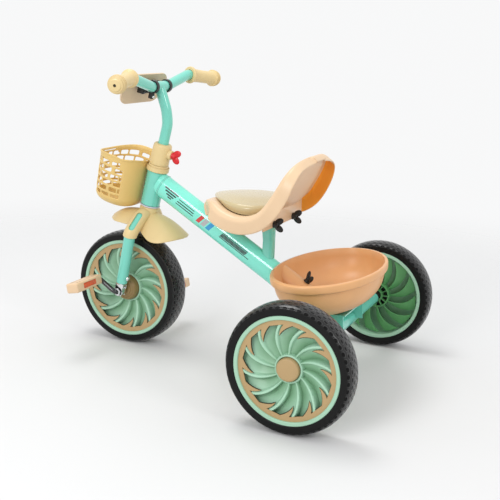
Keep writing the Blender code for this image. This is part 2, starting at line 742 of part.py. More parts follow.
def seat_half_width(t):
    """Half the seat's width at a place along its middle line, nothing at either end."""
    shares = [0.36, 0.66, 0.86, 0.95, 1.0, 1.02, 0.98, 0.88, 0.66, 0.36]
    return smooth_between([(s, 0) for s in shares], t)[0] * SEAT_WIDTH / 2


def seat_point(t, across, drop=0.0, spread=0.0):
    """A point of the seat: along by t, across from -1 to 1, pushed down its own normal by drop."""
    centre = seat_path(t)
    normal = seat_normal(t)
    x = across * seat_half_width(t) + math.copysign(spread, across) * (1 if across else 0)
    return Vector((x, centre[0] - normal[0] * drop, centre[1] - normal[1] * drop))


def seat_dish(t, across):
    """How far the seat's top is hollowed below its line, straight between the columns of its grid."""
    sink = min(1.0, 4 * t, 6 * (1 - t))
    places = zip(SEAT_COLUMNS, SEAT_COLUMNS[1:], SEAT_DISH, SEAT_DISH[1:])
    for low, high, low_depth, high_depth in places:
        if across <= high:
            return sink * (low_depth + (high_depth - low_depth) * (across - low) / (high - low))
    return sink * SEAT_DISH[-1]


def build_seat_shell():
    """Top skin bent along the seat's line, with a skirt all round, given its wall by Solidify."""
    rows = 14
    columns = SEAT_COLUMNS
    bm = bmesh.new()
    grid = []
    for i in range(rows + 1):
        t = i / rows
        grid.append([bm.verts.new(seat_point(t, c, seat_dish(t, c))) for c in columns])
    for low, high in zip(grid, grid[1:]):
        for i in range(len(columns) - 1):
            bm.faces.new((low[i], low[i + 1], high[i + 1], high[i]))
    border = [(0, c) for c in columns] + [(i / rows, 1.0) for i in range(1, rows)]
    border += [(1.0, c) for c in reversed(columns)] + [(i / rows, -1.0) for i in range(rows - 1, 0, -1)]
    edge = list(grid[0]) + [row[-1] for row in grid[1:-1]]
    edge += list(reversed(grid[-1])) + [row[0] for row in reversed(grid[1:-1])]
    previous = edge
    for share, spread in ((0.22, 0.0035), (1.0, 0.0055)):
        level = []
        for (t, across), vert in zip(border, edge):
            out = Vector((math.copysign(spread, across) if abs(across) > 0.9 else 0, 0, 0))
            if t in (0, 1.0):
                ahead = seat_path(0) - seat_path(0.02) if t == 0 else seat_path(1) - seat_path(0.98)
                ahead = ahead.normalized() * spread * (1 if t == 0 else 0.8 + 1.4 * share)
                out += Vector((0, ahead[0], ahead[1]))
            normal = seat_normal(t)
            down = Vector((0, -normal[0], -normal[1])) * SEAT_SKIRT * share
            level.append(bm.verts.new(vert.co + out + down))
        for i in range(len(level)):
            j = (i + 1) % len(level)
            bm.faces.new((previous[i], previous[j], level[j], level[i]))
        previous = level
    shell = add_piece("seat_shell", finish_mesh("seat_shell", bm), PEACH_PLASTIC, REAR)
    solid = shell.modifiers.new("wall", "SOLIDIFY")
    solid.thickness = SEAT_WALL
    solid.offset = -1
    solid.use_even_offset = False
    web_y = SEAT_POST_Y - 0.0245 - 0.0015 - GAP - 0.0015
    web = block("seat_web", (SEAT_WIDTH * 0.84, 0.003, 0.039), PEACH_PLASTIC, REAR,
                location=(0, web_y, SEAT_HEIGHT - 0.006))
    join(shell, web)
    for side in (-1, 1):
        cut(shell, rod(f"web_hole_{side}", WING_STUD_R + 2 * GAP, 0, 0.02, PEACH_PLASTIC, parent=REAR,
                       location=(side * WING_NUT_SPACING / 2, web_y + 0.010, stud_height()),
                       rotation=(math.radians(90), 0, 0), steps=12))


def build_seat_pad():
    """A low crowned cushion lying in the hollow of the seat."""
    rings = []
    first = 0.050
    last = 0.57
    reach = 0.74
    count = 28
    for size, lift in ((0.55, 0.0), (0.95, 0.0), (1.0, 0.35), (0.90, 0.80), (0.5, 1.0)):
        level = []
        for i in range(count):
            angle = FULL_TURN * i / count
            t = (first + last) / 2 - math.cos(angle) * (last - first) / 2 * size
            across = math.sin(angle) * reach * size
            base = seat_point(t, across, seat_dish(t, across) - 0.0045)
            top = SEAT_HEIGHT + PAD_CROWN - 0.006 * size ** 2
            level.append((base.x, base.y, base.z + max(top - base.z, 0.004) * lift))
        rings.append(level)
    return loft("seat_pad", rings, PAD_VINYL, REAR)


def wing(name, stud_length, material, parent, location, rotation, stud_r=WING_STUD_R):
    """A butterfly screw: stud along -Z, hub on Z, two ears leaning outwards."""
    body = turned(name, [
        (0, 0.010), (0.0055, 0.010), (0.0065, 0.0), (stud_r, 0.0), (stud_r, -stud_length), (0, -stud_length),
    ], material, parent, location, rotation, steps=12, closed=False)
    for side in (-1, 1):
        ear = block(f"{name}_ear_{side}", (0.011, 0.005, 0.016), material, parent)
        turn = Matrix.Rotation(math.radians(34 * side), 4, "Y")
        place = Matrix.Translation(Vector(location)) @ Matrix.Rotation(rotation[2], 4, "Z") \
            @ Matrix.Rotation(rotation[1], 4, "Y") @ Matrix.Rotation(rotation[0], 4, "X")
        ear.matrix_local = place @ turn @ Matrix.Translation((0, 0, 0.0115))
        join(body, ear)
    return body


def build_seat_screws():
    web_back = SEAT_POST_Y - 0.0245 - 0.0045 - GAP
    for side, tag in ((-1, "left"), (1, "right")):
        place = (side * WING_NUT_SPACING / 2, web_back - GAP, stud_height())
        wing(f"seat_wing_screw_{tag}", 0.012, BLACK_PLASTIC, REAR, place, ACROSS)


# ---------------------------------------------------------------- bin

def bowl_side(half, floor):
    """Side of the bowl from under its rim to the middle of its floor, as a half profile."""
    steps = 4
    side = []
    for i in range(steps + 1):
        t = i / steps
        height = -BIN_RIM_HEIGHT + (floor + BIN_RIM_HEIGHT) * t ** 0.85
        side.append((half * (1 - 0.10 * t - 0.42 * t ** 3), height))
    return side + [(0, floor)]


def main_tube_top(y):
    """The point on top of the main tube at y from the rear axle, and the tube's upward normal."""
    along = main_tube_line()[1]
    normal = Vector((0, -along.z, along.y))
    return Vector((0, y, main_tube_height(y))) + normal * MAIN_TUBE_HEIGHT / 2, normal


def build_bin():
    """An oval bowl with a thick rim; a hood in its front makes room for the main tube."""
    datum = add_empty("bin_datum", (0, BIN_Y, BIN_TOP), (math.radians(-BIN_PITCH), 0, 0), REAR)
    half = BIN_LENGTH / 2
    outside = [(0, 0), (half - 0.003, 0), (half, -0.003), (half, -0.6 * BIN_RIM_HEIGHT),
               (half - 0.002, -0.64 * BIN_RIM_HEIGHT)]
    inside = [(0, 0.01), (half - BIN_RIM_WIDTH, 0.01)]
    outside += bowl_side(half - 0.002, -BIN_DEPTH)
    inside += bowl_side(half - BIN_RIM_WIDTH, -BIN_DEPTH + BIN_WALL)
    bowl = turned("bin", outside, BIN_PLASTIC, datum, steps=24, closed=False)
    cavity = turned("bin_inside", inside, BIN_PLASTIC, datum, steps=24, closed=False)
    bowl.scale = (1, BIN_WIDTH / BIN_LENGTH, 1)
    cavity.scale = (1, BIN_WIDTH / BIN_LENGTH, 1)
    cut(cavity, main_tube_solid("bin_hood", GAP + BOSS_WALL))
    cut(bowl, cavity)
    cut(bowl, main_tube_solid("bin_channel", GAP, 0.05))
    top, normal = main_tube_top(BIN_SCREW_Y)
    outer = top + normal * (GAP + BOSS_WALL)
    turn = (math.atan2(-normal.y, normal.z), 0, 0)
    wing("bin_wing_screw", 0.016, BLACK_PLASTIC, REAR, outer + normal * GAP, turn)
    cut(bowl, rod("bin_screw_hole", WING_STUD_R + 2 * GAP, -0.02, 0.01, BIN_PLASTIC, parent=REAR,
                  location=outer, rotation=turn, steps=12))
    hole = rod("tube_screw_hole", WING_STUD_R + 2 * GAP, -0.022, 0.01, MINT_PAINT, parent=REAR, location=outer,
               rotation=turn, steps=12)
    cut(bpy.data.objects["main_tube"], hole)
    return datum


def build_bin_bracket(datum):
    """A plate under the bin's floor on two legs that stand on the cross tube."""
    plate_z = -BIN_DEPTH - GAP - 0.00125
    bracket = block("bin_bracket", (BIN_BRACKET_WIDTH, 0.034, 0.0025), MINT_PAINT, datum,
                    location=(0, -BIN_Y - 0.004, plate_z))
    drop = BIN_TOP - BIN_DEPTH - REAR_TYRE_R
    for side in (-1, 1):
        x = side * (BIN_BRACKET_WIDTH / 2 - 0.004)
        join(bracket, block(f"bracket_leg_{side}", (0.0025, 0.028, drop), MINT_PAINT, datum,
                            location=(x, -BIN_Y - 0.002, plate_z - drop / 2)))
    cut(bracket, rod("bracket_tube_notch", CROSS_TUBE_R + GAP, -0.2, 0.2, MINT_PAINT, parent=REAR,
                     location=(0, 0, REAR_TYRE_R), rotation=ON_AXLE, steps=24))


# ---------------------------------------------------------------- fork

def fork_line(side):
    """A leg's middle line in the steering frame, from the crown down to its foot."""
    return [
        (side * 0.004, 0, FORK_CROWN),
        (side * 0.024, 0, FORK_CROWN - 0.001),
        (side * FORK_SPREAD, 0, FORK_SHOULDER),
        (side * FORK_FOOT_SPREAD, 0, FORK_FOOT),
    ]


def build_fork():
    steerer = rod("steerer_tube", STEERER_R, FORK_CROWN - 0.012, COLLAR_BOTTOM + 0.006, MINT_PAINT,
                  parent=HEAD, steps=24)
    cut(steerer, rod("steerer_bore", STEM_R + 2 * GAP, FORK_CROWN + 0.012, COLLAR_TOP, MINT_PAINT, parent=HEAD,
                     steps=20))
    for side, tag in ((-1, "left"), (1, "right")):
        line = rounded_path(fork_line(side), FORK_BEND, 2)
        leg = tube(f"fork_leg_{tag}", line, FORK_TUBE_R, MINT_PAINT, HEAD, sides=12)
        cut(leg, rod(f"leg_notch_{tag}", STEERER_R + GAP, 0.1, 0.3, MINT_PAINT, parent=HEAD, steps=24))


def build_crown_cover():
    """A cover over the fork crown: a neck under the head, a slotted sleeve down each leg and a fender."""
    top = HEAD_TUBE_BOTTOM - HEAD_RING - GAP
    neck = turned("crown_cover", [(0, top), (0.0185, top), (0.0200, top - 0.016), (0.0245, top - 0.034),
                                  (0, top - 0.034)], CREAM_PLASTIC, HEAD, steps=28, closed=False)
    for side in (-1, 1):
        line = rounded_path(fork_line(side), FORK_BEND, 2)
        sleeve_line = [point for point in line if point.z > SLEEVE_END]
        foot = Vector(fork_line(side)[3])
        reach = (sleeve_line[-1].z - SLEEVE_END) / (sleeve_line[-1].z - foot.z)
        sleeve_line.append(sleeve_line[-1].lerp(foot, reach))
        sleeve_r = FORK_TUBE_R + SLEEVE_WALL
        join(neck, tube(f"sleeve_{side}", sleeve_line, sleeve_r, CREAM_PLASTIC, HEAD, sides=12))
    join(neck, fender_shell())
    for side in (-1, 1):
        line = rounded_path(fork_line(side), FORK_BEND, 2)
        cut(neck, tube(f"sleeve_bore_{side}", line, FORK_TUBE_R + 2 * GAP, CREAM_PLASTIC, HEAD, sides=12))
        lean = math.atan2(FORK_SPREAD - 0.024, FORK_CROWN - FORK_SHOULDER)
        cut(neck, block(f"sleeve_slot_{side}", (0.030, 0.009, 0.034), CREAM_PLASTIC, HEAD, bevel=0.004,
                        location=(side * 0.0500, -0.003, 0.1570), rotation=(0, -lean * side, 0)))
    cut(neck, rod("cover_bore", STEERER_R + GAP, 0.10, 0.30, CREAM_PLASTIC, parent=HEAD, steps=24))
    return neck


def fender_shell():
    """A saddle over the tyre with a broad tail behind and a small lobe ahead."""
    stations = [
        # ahead of the axis, middle height, edge height, share of the half width
        (-0.097, 0.1490, 0.1475, 0.12),
        (-0.086, 0.1550, 0.1440, 0.66),
        (-0.062, 0.1660, 0.1330, 0.98),
        (-0.036, 0.1730, 0.1290, 0.92),
        (0.000, 0.1740, 0.1400, 0.66),
        (0.030, 0.1680, 0.1400, 0.74),
        (0.056, 0.1580, 0.1360, 0.66),
        (0.076, 0.1400, 0.1320, 0.24),
    ]
    columns = [-1.0, -0.7, -0.35, 0.0, 0.35, 0.7, 1.0]
    bm = bmesh.new()
    grid = []
    for y, middle, edge, share in stations:
        row = []
        for c in columns:
            z = edge + (middle - edge) * (1 - abs(c) ** 2.2)
            row.append(bm.verts.new((c * share * FENDER_WIDTH / 2, y, z)))
        grid.append(row)
    for low, high in zip(grid, grid[1:]):
        for i in range(len(columns) - 1):
            bm.faces.new((low[i], low[i + 1], high[i + 1], high[i]))
    fender = add_piece("fender_shell", finish_mesh("fender_shell", bm), CREAM_PLASTIC, HEAD)
    wall = fender.modifiers.new("wall", "SOLIDIFY")
    wall.thickness = FENDER_WALL
    wall.offset = -1
    return fender


def build_axle_brackets():
    """A chrome strap under each leg that holds the crank axle, with its pinch bolt."""
    for side, tag in ((-1, "left"), (1, "right")):
        x = side * FORK_FOOT_SPREAD
        top = FORK_FOOT - 4 * GAP
        bracket = block(f"axle_bracket_{tag}", (0.016, 0.020, top + BRACKET_R), CHROME, HEAD, bevel=0.002,
                        location=(x, 0, (top - BRACKET_R) / 2))
        cut(bracket, rod(f"bracket_bore_{tag}", CRANK_R + 2 * GAP, -0.02, 0.02, CHROME, parent=HEAD,
                         location=(x, 0, 0), rotation=ON_AXLE, steps=16))
        bolt = [(0, 0.0035), (0.0048, 0.0035), (0.0055, 0.0), (0, 0.0)]
        turned(f"bracket_bolt_{tag}", bolt, CHROME, HEAD,
               location=(x, -FORK_TUBE_R - GAP - 0.0002, FORK_FOOT + 0.012),
               rotation=(math.radians(90), 0, 0), steps=12, closed=False)


# ---------------------------------------------------------------- collar, knob, basket

def build_collar():
    """The clamp that turns with the fork and grips the sliding stem."""
    bottom = COLLAR_BOTTOM
    top = COLLAR_TOP
    collar = turned("steering_collar", [
        (STEM_R + 2 * GAP, top), (COLLAR_R - 0.0045, top), (COLLAR_R - 0.0015, top - 0.004),
        (COLLAR_R - 0.0008, top - 0.012), (COLLAR_R, bottom), (STEERER_R + GAP, bottom),
        (STEERER_R + GAP, bottom + 0.0065), (STEM_R + 2 * GAP, bottom + 0.0065),
    ], CREAM_PLASTIC, HEAD, steps=20)
    height = (bottom + top) / 2 + 0.004
    boss = rod("collar_boss", 0.0095, 0.0, COLLAR_R + 0.0045, CREAM_PLASTIC, parent=HEAD,
               location=(0, 0, height), rotation=(math.radians(90), 0, 0), steps=16)
    join(collar, boss)
    cut(collar, rod("collar_stem_bore", STEM_R + 2 * GAP, bottom + 0.0065, top + 0.01, CREAM_PLASTIC,
                    parent=HEAD, steps=20))
    cut(collar, rod("collar_screw_bore", WING_STUD_R + 2 * GAP, 0.0, 0.04, CREAM_PLASTIC, parent=HEAD,
                    location=(0, 0, height), rotation=(math.radians(90), 0, 0), steps=12))
    start = COLLAR_R + 0.0045 + GAP
    wing("clamp_knob", start - STEM_R - 3 * GAP, RED_PLASTIC, HEAD, (0, -start, height), ACROSS)


def basket_ring(height_share, grow):
    """Outline of the basket in the steering frame: straight at the back, rounded and narrower in front."""
    taper = 0.74 + 0.26 * height_share ** 0.6
    back = HEAD_TUBE_R + 0.004 + (1 - height_share) * 0.004
    half = BASKET_WIDTH / 2 * taper
    length = BASKET_LENGTH * (0.94 + 0.06 * height_share)
    z = BASKET_TOP - BASKET_HEIGHT * (1 - height_share)
    count = 20
    points = []
    for i in range(count):
        angle = FULL_TURN * i / count
        c = math.cos(angle)
        s = math.sin(angle)
        power = 2.6
        x = (half + grow) * math.copysign(abs(c) ** (2 / power), c)
        y = (length / 2 + grow) * math.copysign(abs(s) ** (2 / power), s)
        narrow = 1 - 0.20 * max(0.0, s) ** 2
        points.append((x * narrow, back + length / 2 + y, z))
    return points


def build_basket():
    """A tapered bucket with a waved rim and rows of slots through its front."""
    shares = [0.0, 0.06, 0.3, 0.6, 1.0]
    grows = [-0.010, 0.0, 0.0, 0.0, 0.0]
    rings = [basket_ring(s, g) for s, g in zip(shares, grows)]
    rings[-1] = [(x, y, z + rim_wave(x, y)) for x, y, z in rings[-1]]
    basket = loft("basket", rings, YELLOW_PLASTIC, HEAD)
    inner_shares = [0.03, 0.10, 0.3, 0.6, 1.12]
    inner = [basket_ring(s, g - BASKET_WALL) for s, g in zip(inner_shares, grows)]
    cut(basket, loft("basket_inside", inner, YELLOW_PLASTIC, HEAD))
    middle = HEAD_TUBE_R + 0.004 + BASKET_LENGTH / 2
    for row in range(3):
        z = BASKET_TOP - 0.032 - row * 0.021
        for degrees in (-70, -25, 25, 70):
            angle = math.radians(degrees)
            place = (0.045 * math.sin(angle), middle + 0.040 * math.cos(angle), z)
            cut(basket, block(f"basket_slot_{row}_{degrees}", (0.013, 0.050, 0.009), YELLOW_PLASTIC, HEAD,
                              location=place, rotation=(0, 0, -angle)))
    return basket


def rim_wave(x, y):
    """Rise and fall of the basket's rim: high at the corners, low at the sides and front."""
    side = abs(x) / (BASKET_WIDTH / 2)
    return 0.007 * (side ** 2 - 0.6) * (1 if y > HEAD_TUBE_R + BASKET_LENGTH * 0.35 else 0.3)


def build_basket_hook():
    """The clip between collar and basket."""
    top = COLLAR_BOTTOM - HEAD_COVER_HEIGHT
    ring("basket_hook", HEAD_COVER_R + 4 * GAP, HEAD_COVER_R + 0.0024, top + 0.0005, top + 0.0095,
         CREAM_PLASTIC, parent=HEAD, steps=24)


# ---------------------------------------------------------------- handlebar

def bar_corners():
    """Middle line of the bar in the steering frame, from left to right."""
    reach = BAR_REACH
    rise = BAR_HEIGHT
    inner = 0.030
    bend = BAR_HALF_WIDTH - GRIP_LENGTH
    right = [(inner, reach, rise), (bend, reach + 0.002, rise + BAR_RISE),
             (BAR_HALF_WIDTH, reach - BAR_SWEEP, rise + BAR_RISE - 0.004)]
    left = [(-x, y, z) for x, y, z in reversed(right)]
    return left + right


def build_handlebar():
    bar_line = rounded_path(bar_corners(), 0.020, 2)
    tube("handlebar_bar", bar_line, BAR_R, MINT_PAINT, HEAD, sides=16)
    stem_line = [(0, 0, COLLAR_BOTTOM - 0.055), (0, 0, BAR_HEIGHT - 0.066), (0, 0.010, BAR_HEIGHT - 0.040),
                 (0, BAR_REACH, BAR_HEIGHT)]
    stem = tube("handlebar_stem", rounded_path(stem_line, 0.060, 3), STEM_R, MINT_PAINT, HEAD, sides=16)
    cut(stem, tube("stem_notch", bar_line, BAR_R + GAP, MINT_PAINT, HEAD, sides=16))


def grip_frame(side):
    """Place and turn of a grip whose local Z runs outwards along the bar."""
    corners = [Vector(p) for p in bar_corners()]
    inner, outer = (corners[1], corners[0]) if side < 0 else (corners[-2], corners[-1])
    along = (outer - inner).normalized()
    return inner, along, (outer - inner).length


def build_grips():
    """A flanged, waisted sleeve with a ribbed mushroom end."""
    for side, tag in ((-1, "left"), (1, "right")):
        inner, along, length = grip_frame(side)
        bore = BAR_R + 2 * GAP
        profile = [
            (0.0028, length + 0.005), (GRIP_FLANGE_R - 0.007, length + 0.0035), (GRIP_FLANGE_R, length - 0.004),
            (GRIP_FLANGE_R, length - 0.011), (GRIP_R + 0.0005, length - 0.016), (GRIP_R, length * 0.5),
            (GRIP_R + 0.001, 0.018), (GRIP_FLANGE_R, 0.010), (GRIP_FLANGE_R, 0.004), (bore, 0.004),
            (bore, length + GAP), (0.0028, length + GAP),
        ]
        turn = along.to_track_quat("Z", "Y").to_euler()
        turned(f"grip_{tag}", profile, CREAM_PLASTIC, HEAD, location=inner, rotation=turn, steps=16)


def build_bar_clamps():
    """Two bands round the bar, a bracket ahead of them and the plate that it holds."""
    for side, tag in ((-1, "left"), (1, "right")):
        x = side * CLAMP_SPACING / 2
        band = ring(f"bar_clamp_{tag}", BAR_R + 2 * GAP, BAR_R + CLAMP_WALL, -CLAMP_WIDTH / 2, CLAMP_WIDTH / 2,
                    BLACK_PLASTIC, parent=HEAD, location=(x, BAR_REACH, BAR_HEIGHT), rotation=ON_AXLE, steps=16)
        lug = block(f"clamp_lug_{tag}", (CLAMP_WIDTH, 0.010, 0.012), BLACK_PLASTIC, HEAD,
                    location=(x, BAR_REACH, BAR_HEIGHT - BAR_R - 0.0075))
        join(band, lug)
    tilt = math.radians(PLATE_TILT)
    plate_mid = Vector((0, BAR_REACH + PLATE_REACH, BAR_HEIGHT - 0.014))
    bracket_start = BAR_REACH + BAR_R + CLAMP_WALL + GAP
    back_face = plate_mid.y - PLATE_THICK / 2 - 2 * GAP
    depth = back_face - bracket_start - 0.004
    block("panel_bracket", (CLAMP_SPACING + 0.030, depth, 0.020), BLACK_PLASTIC, HEAD, bevel=0.003,
          location=(0, bracket_start + depth / 2, BAR_HEIGHT - 0.004))
    corner = PLATE_HEIGHT / 2
    outline = []
    steps = 8
    for cx, first in ((PLATE_WIDTH / 2 - corner, -90), (-(PLATE_WIDTH / 2 - corner), 90)):
        for i in range(steps + 1):
            a = math.radians(first + 180 * i / steps)
            outline.append((cx + corner * math.cos(a), corner * math.sin(a)))
    flat_shape("panel_plate", [outline], PLATE_THICK, PLATE_PLASTIC, HEAD, location=plate_mid,
               rotation=(math.radians(90) + tilt, 0, 0))


# ---------------------------------------------------------------- assembly

def build_tricycle():
    build_head()
    build_main_tube()
    build_cross_tube()
    build_seat_post()
    build_seat_shell()
    build_seat_pad()
    build_seat_screws()
    build_bin_bracket(build_bin())
    build_rear_axle()
    for side in (-1, 1):
        build_rear_wheel(side)
        build_pedal(side)
    build_front_wheel()
    build_crank()
    build_fork()
    build_crown_cover()
    build_axle_brackets()
    build_collar()
    build_basket()
    build_basket_hook()
    build_handlebar()
    build_grips()
    build_bar_clamps()


build_tricycle()
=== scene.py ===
"""A child's pedal tricycle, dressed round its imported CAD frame."""
import json
import math

import bpy
from mathutils import Matrix, Quaternion, Vector


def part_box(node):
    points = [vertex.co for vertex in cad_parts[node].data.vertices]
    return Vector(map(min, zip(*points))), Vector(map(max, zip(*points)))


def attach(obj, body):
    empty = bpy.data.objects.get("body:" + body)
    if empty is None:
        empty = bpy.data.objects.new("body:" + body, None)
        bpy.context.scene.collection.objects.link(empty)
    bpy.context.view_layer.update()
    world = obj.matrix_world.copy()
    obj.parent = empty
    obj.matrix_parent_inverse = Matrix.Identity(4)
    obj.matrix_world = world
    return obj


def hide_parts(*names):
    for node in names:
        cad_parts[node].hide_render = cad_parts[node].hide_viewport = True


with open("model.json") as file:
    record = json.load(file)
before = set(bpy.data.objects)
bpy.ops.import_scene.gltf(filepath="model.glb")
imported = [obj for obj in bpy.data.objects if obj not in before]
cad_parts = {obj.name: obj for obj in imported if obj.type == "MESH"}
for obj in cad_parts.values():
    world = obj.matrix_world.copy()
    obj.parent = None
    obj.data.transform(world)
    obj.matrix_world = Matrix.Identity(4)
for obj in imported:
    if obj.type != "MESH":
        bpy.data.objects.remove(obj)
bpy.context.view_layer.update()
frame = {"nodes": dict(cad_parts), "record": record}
bpy.ops.object.select_all(action="DESELECT")

TURN = 2 * math.pi
REAR_AXLE = Vector((0, -0.23925, 0.115))
FRONT_AXLE = Vector((0, 0.23325, 0.121))
HALF_TRACK = 0.2495
REAR_RIM_R = 0.0955
FRONT_RIM_R = 0.103
REAR_TYRE_R = 0.115
FRONT_TYRE_R = 0.121
REAR_TYRE_HALF = 0.0225
FRONT_TYRE_HALF = 0.026
BLADES = 12
SWEEP = 26
HEAD_LEAN = math.radians(13.5)
HEAD = Matrix.Translation(FRONT_AXLE) @ Matrix.Rotation(HEAD_LEAN, 4, "X")
BAR_HEIGHT = 0.4265
BAR_REACH = 0.036
TUBE_END = HEAD @ Vector((0, 0, 0.241))
TUBE_ALONG = (TUBE_END - REAR_AXLE).normalized()
TUBE_UP = Vector((0, -TUBE_ALONG.z, TUBE_ALONG.y))
TUBE_HALF_X = 0.019
TUBE_HALF_Y = 0.02375
STEM_R = 0.0108
BAR_R = 0.0105
LEG_R = 0.0115
LEG_END_X = 0.0465
CRANK_R = 0.005
BASKET_FLOOR = 0.172
BASKET_HIGH = 0.104
BASKET_LONG = 0.096
BASKET_HALF = 0.067
BASKET_MIDDLE = 0.072
BIN_WIDE = 0.336
BIN_LONG = 0.204
BIN_TILT = math.radians(-4.5)
EYE = (-1.4979, -0.73565, 0.6528)
LOOK = Vector((0.8799, 0.4075, -0.2445))
EYE_ROLL = math.radians(1.98)


# ------------------------------------------------------------ camera, light and floor

def stand_camera():
    lens = bpy.data.cameras.new("view")
    lens.lens = 61.9
    lens.sensor_width = 36
    camera = bpy.data.objects.new("view", lens)
    bpy.context.scene.collection.objects.link(camera)
    camera.rotation_mode = "QUATERNION"
    camera.rotation_quaternion = LOOK.to_track_quat("-Z", "Y") @ Quaternion((0, 0, 1), EYE_ROLL)
    camera.location = EYE
    bpy.context.scene.camera = camera


def soft_panel(name, place, aim, size, power):
    light = bpy.data.lights.new(name, "AREA")
    light.shape = "DISK"
    light.size = size
    light.energy = power
    panel = bpy.data.objects.new(name, light)
    bpy.context.scene.collection.objects.link(panel)
    panel.location = place
    panel.rotation_euler = (Vector(aim) - Vector(place)).to_track_quat("-Z", "Y").to_euler()


def light_studio():
    world = bpy.data.worlds.new("studio")
    bpy.context.scene.world = world
    world.use_nodes = True
    world.node_tree.nodes["Background"].inputs["Color"].default_value = (0.938, 0.941, 0.944, 1)
    soft_panel("overhead", (0.1, 0.5, 2.2), (0, 0, 0.2), 0.9, 14)
    soft_panel("left_window", (-2.2, 0.1, 1.35), (0, 0, 0.25), 0.8, 15)
    soft_panel("back_strip", (-0.8, -2.2, 1.6), (0, 0, 0.3), 0.7, 7)
    bpy.context.scene.view_settings.view_transform = "Standard"
    bpy.context.scene.view_settings.look = "None"


# ------------------------------------------------------------ finishes

class Field:
    """A number that runs over a surface; arithmetic on it adds Math nodes to its finish."""

    def __init__(self, finish, socket):
        self.finish = finish
        self.socket = socket

    def __add__(self, other):
        return self.finish.math("ADD", self, other)

    def __sub__(self, other):
        return self.finish.math("SUBTRACT", self, other)

    def __rsub__(self, other):
        return self.finish.math("SUBTRACT", other, self)

    def __mul__(self, other):
        return self.finish.math("MULTIPLY", self, other)

    def __truediv__(self, other):
        return self.finish.math("DIVIDE", self, other)

    def __gt__(self, other):
        return self.finish.math("GREATER_THAN", self, other)

    def __lt__(self, other):
        return self.finish.math("LESS_THAN", self, other)

    __radd__ = __add__
    __rmul__ = __mul__


class Finish:
    """One procedural material, built on a Principled shader."""

    def __init__(self, name, roughness=0.4, **constants):
        self.material = bpy.data.materials.new(name)
        self.material.use_nodes = True
        self.tree = self.material.node_tree
        self.shader = self.tree.nodes["Principled BSDF"]
        self.shader.inputs["Roughness"].default_value = roughness
        for socket, value in constants.items():
            self.shader.inputs[socket.replace("_", " ")].default_value = value

    def node(self, kind, settings=None, sockets=None, out=0):
        node = self.tree.nodes.new("ShaderNode" + kind)
        for key, value in (settings or {}).items():
            setattr(node, key, value)
        for key, value in (sockets or {}).items():
            if isinstance(value, Field):
                self.tree.links.new(value.socket, node.inputs[key])
            else:
                node.inputs[key].default_value = value
        return Field(self, node.outputs[out])

    def math(self, operation, *values):
        return self.node("Math", {"operation": operation}, dict(enumerate(values)))

    def place(self, centre=(0, 0, 0), scale=(1, 1, 1)):
        """Object coordinates measured from a centre and stretched."""
        where = self.node("TexCoord", out="Object")
        shift = tuple(-c * s for c, s in zip(centre, scale))
        return self.node("Mapping", {}, {"Vector": where, "Location": shift, "Scale": scale})

    def axes(self, where):
        split = self.tree.nodes.new("ShaderNodeSeparateXYZ")
        self.tree.links.new(where.socket, split.inputs[0])
        return [Field(self, out) for out in split.outputs]

    def noise(self, where, scale, detail=2.0, roughness=0.5):
        return self.node("TexNoise", {},
                         {"Vector": where, "Scale": scale, "Detail": detail, "Roughness": roughness})

    def between(self, low, high, value):
        """A smooth step of value between low and high."""
        return self.node("MapRange", {"interpolation_type": "SMOOTHSTEP"},
                         {"Value": value, "From Min": low, "From Max": high})

    def mix(self, share, first, second):
        return self.node("Mix", {"data_type": "RGBA"}, {0: share, 6: first, 7: second}, out=2)

    def feed(self, socket, value):
        self.tree.links.new(value.socket, self.shader.inputs[socket])

    def bump(self, height, distance, strength=1.0):
        self.feed("Normal",
                  self.node("Bump", {}, {"Height": height, "Distance": distance, "Strength": strength}))


def tone(colour, factor):
    return tuple(min(1.0, c * factor) for c in colour)


def sprayed_steel(name, colour, print_on=None):
    """Glossy stove paint: faint orange peel, slow drift of shade and a few dull rubbed patches."""
    paint = Finish(name, 0.24, Coat_Weight=0.6, Coat_Roughness=0.08, IOR=1.5)
    here = paint.place()
    base = paint.mix(paint.noise(here, 14, 3), (*tone(colour, 0.93), 1), (*tone(colour, 1.05), 1))
    paint.feed("Base Color", print_on(paint, base) if print_on else base)
    rubbed = paint.between(0.56, 0.72, paint.noise(here, 32, 5, 0.6))
    paint.feed("Roughness", 0.13 + rubbed * 0.1)
    paint.bump(paint.noise(here, 420, 2), 0.00012, 0.5)
    return paint


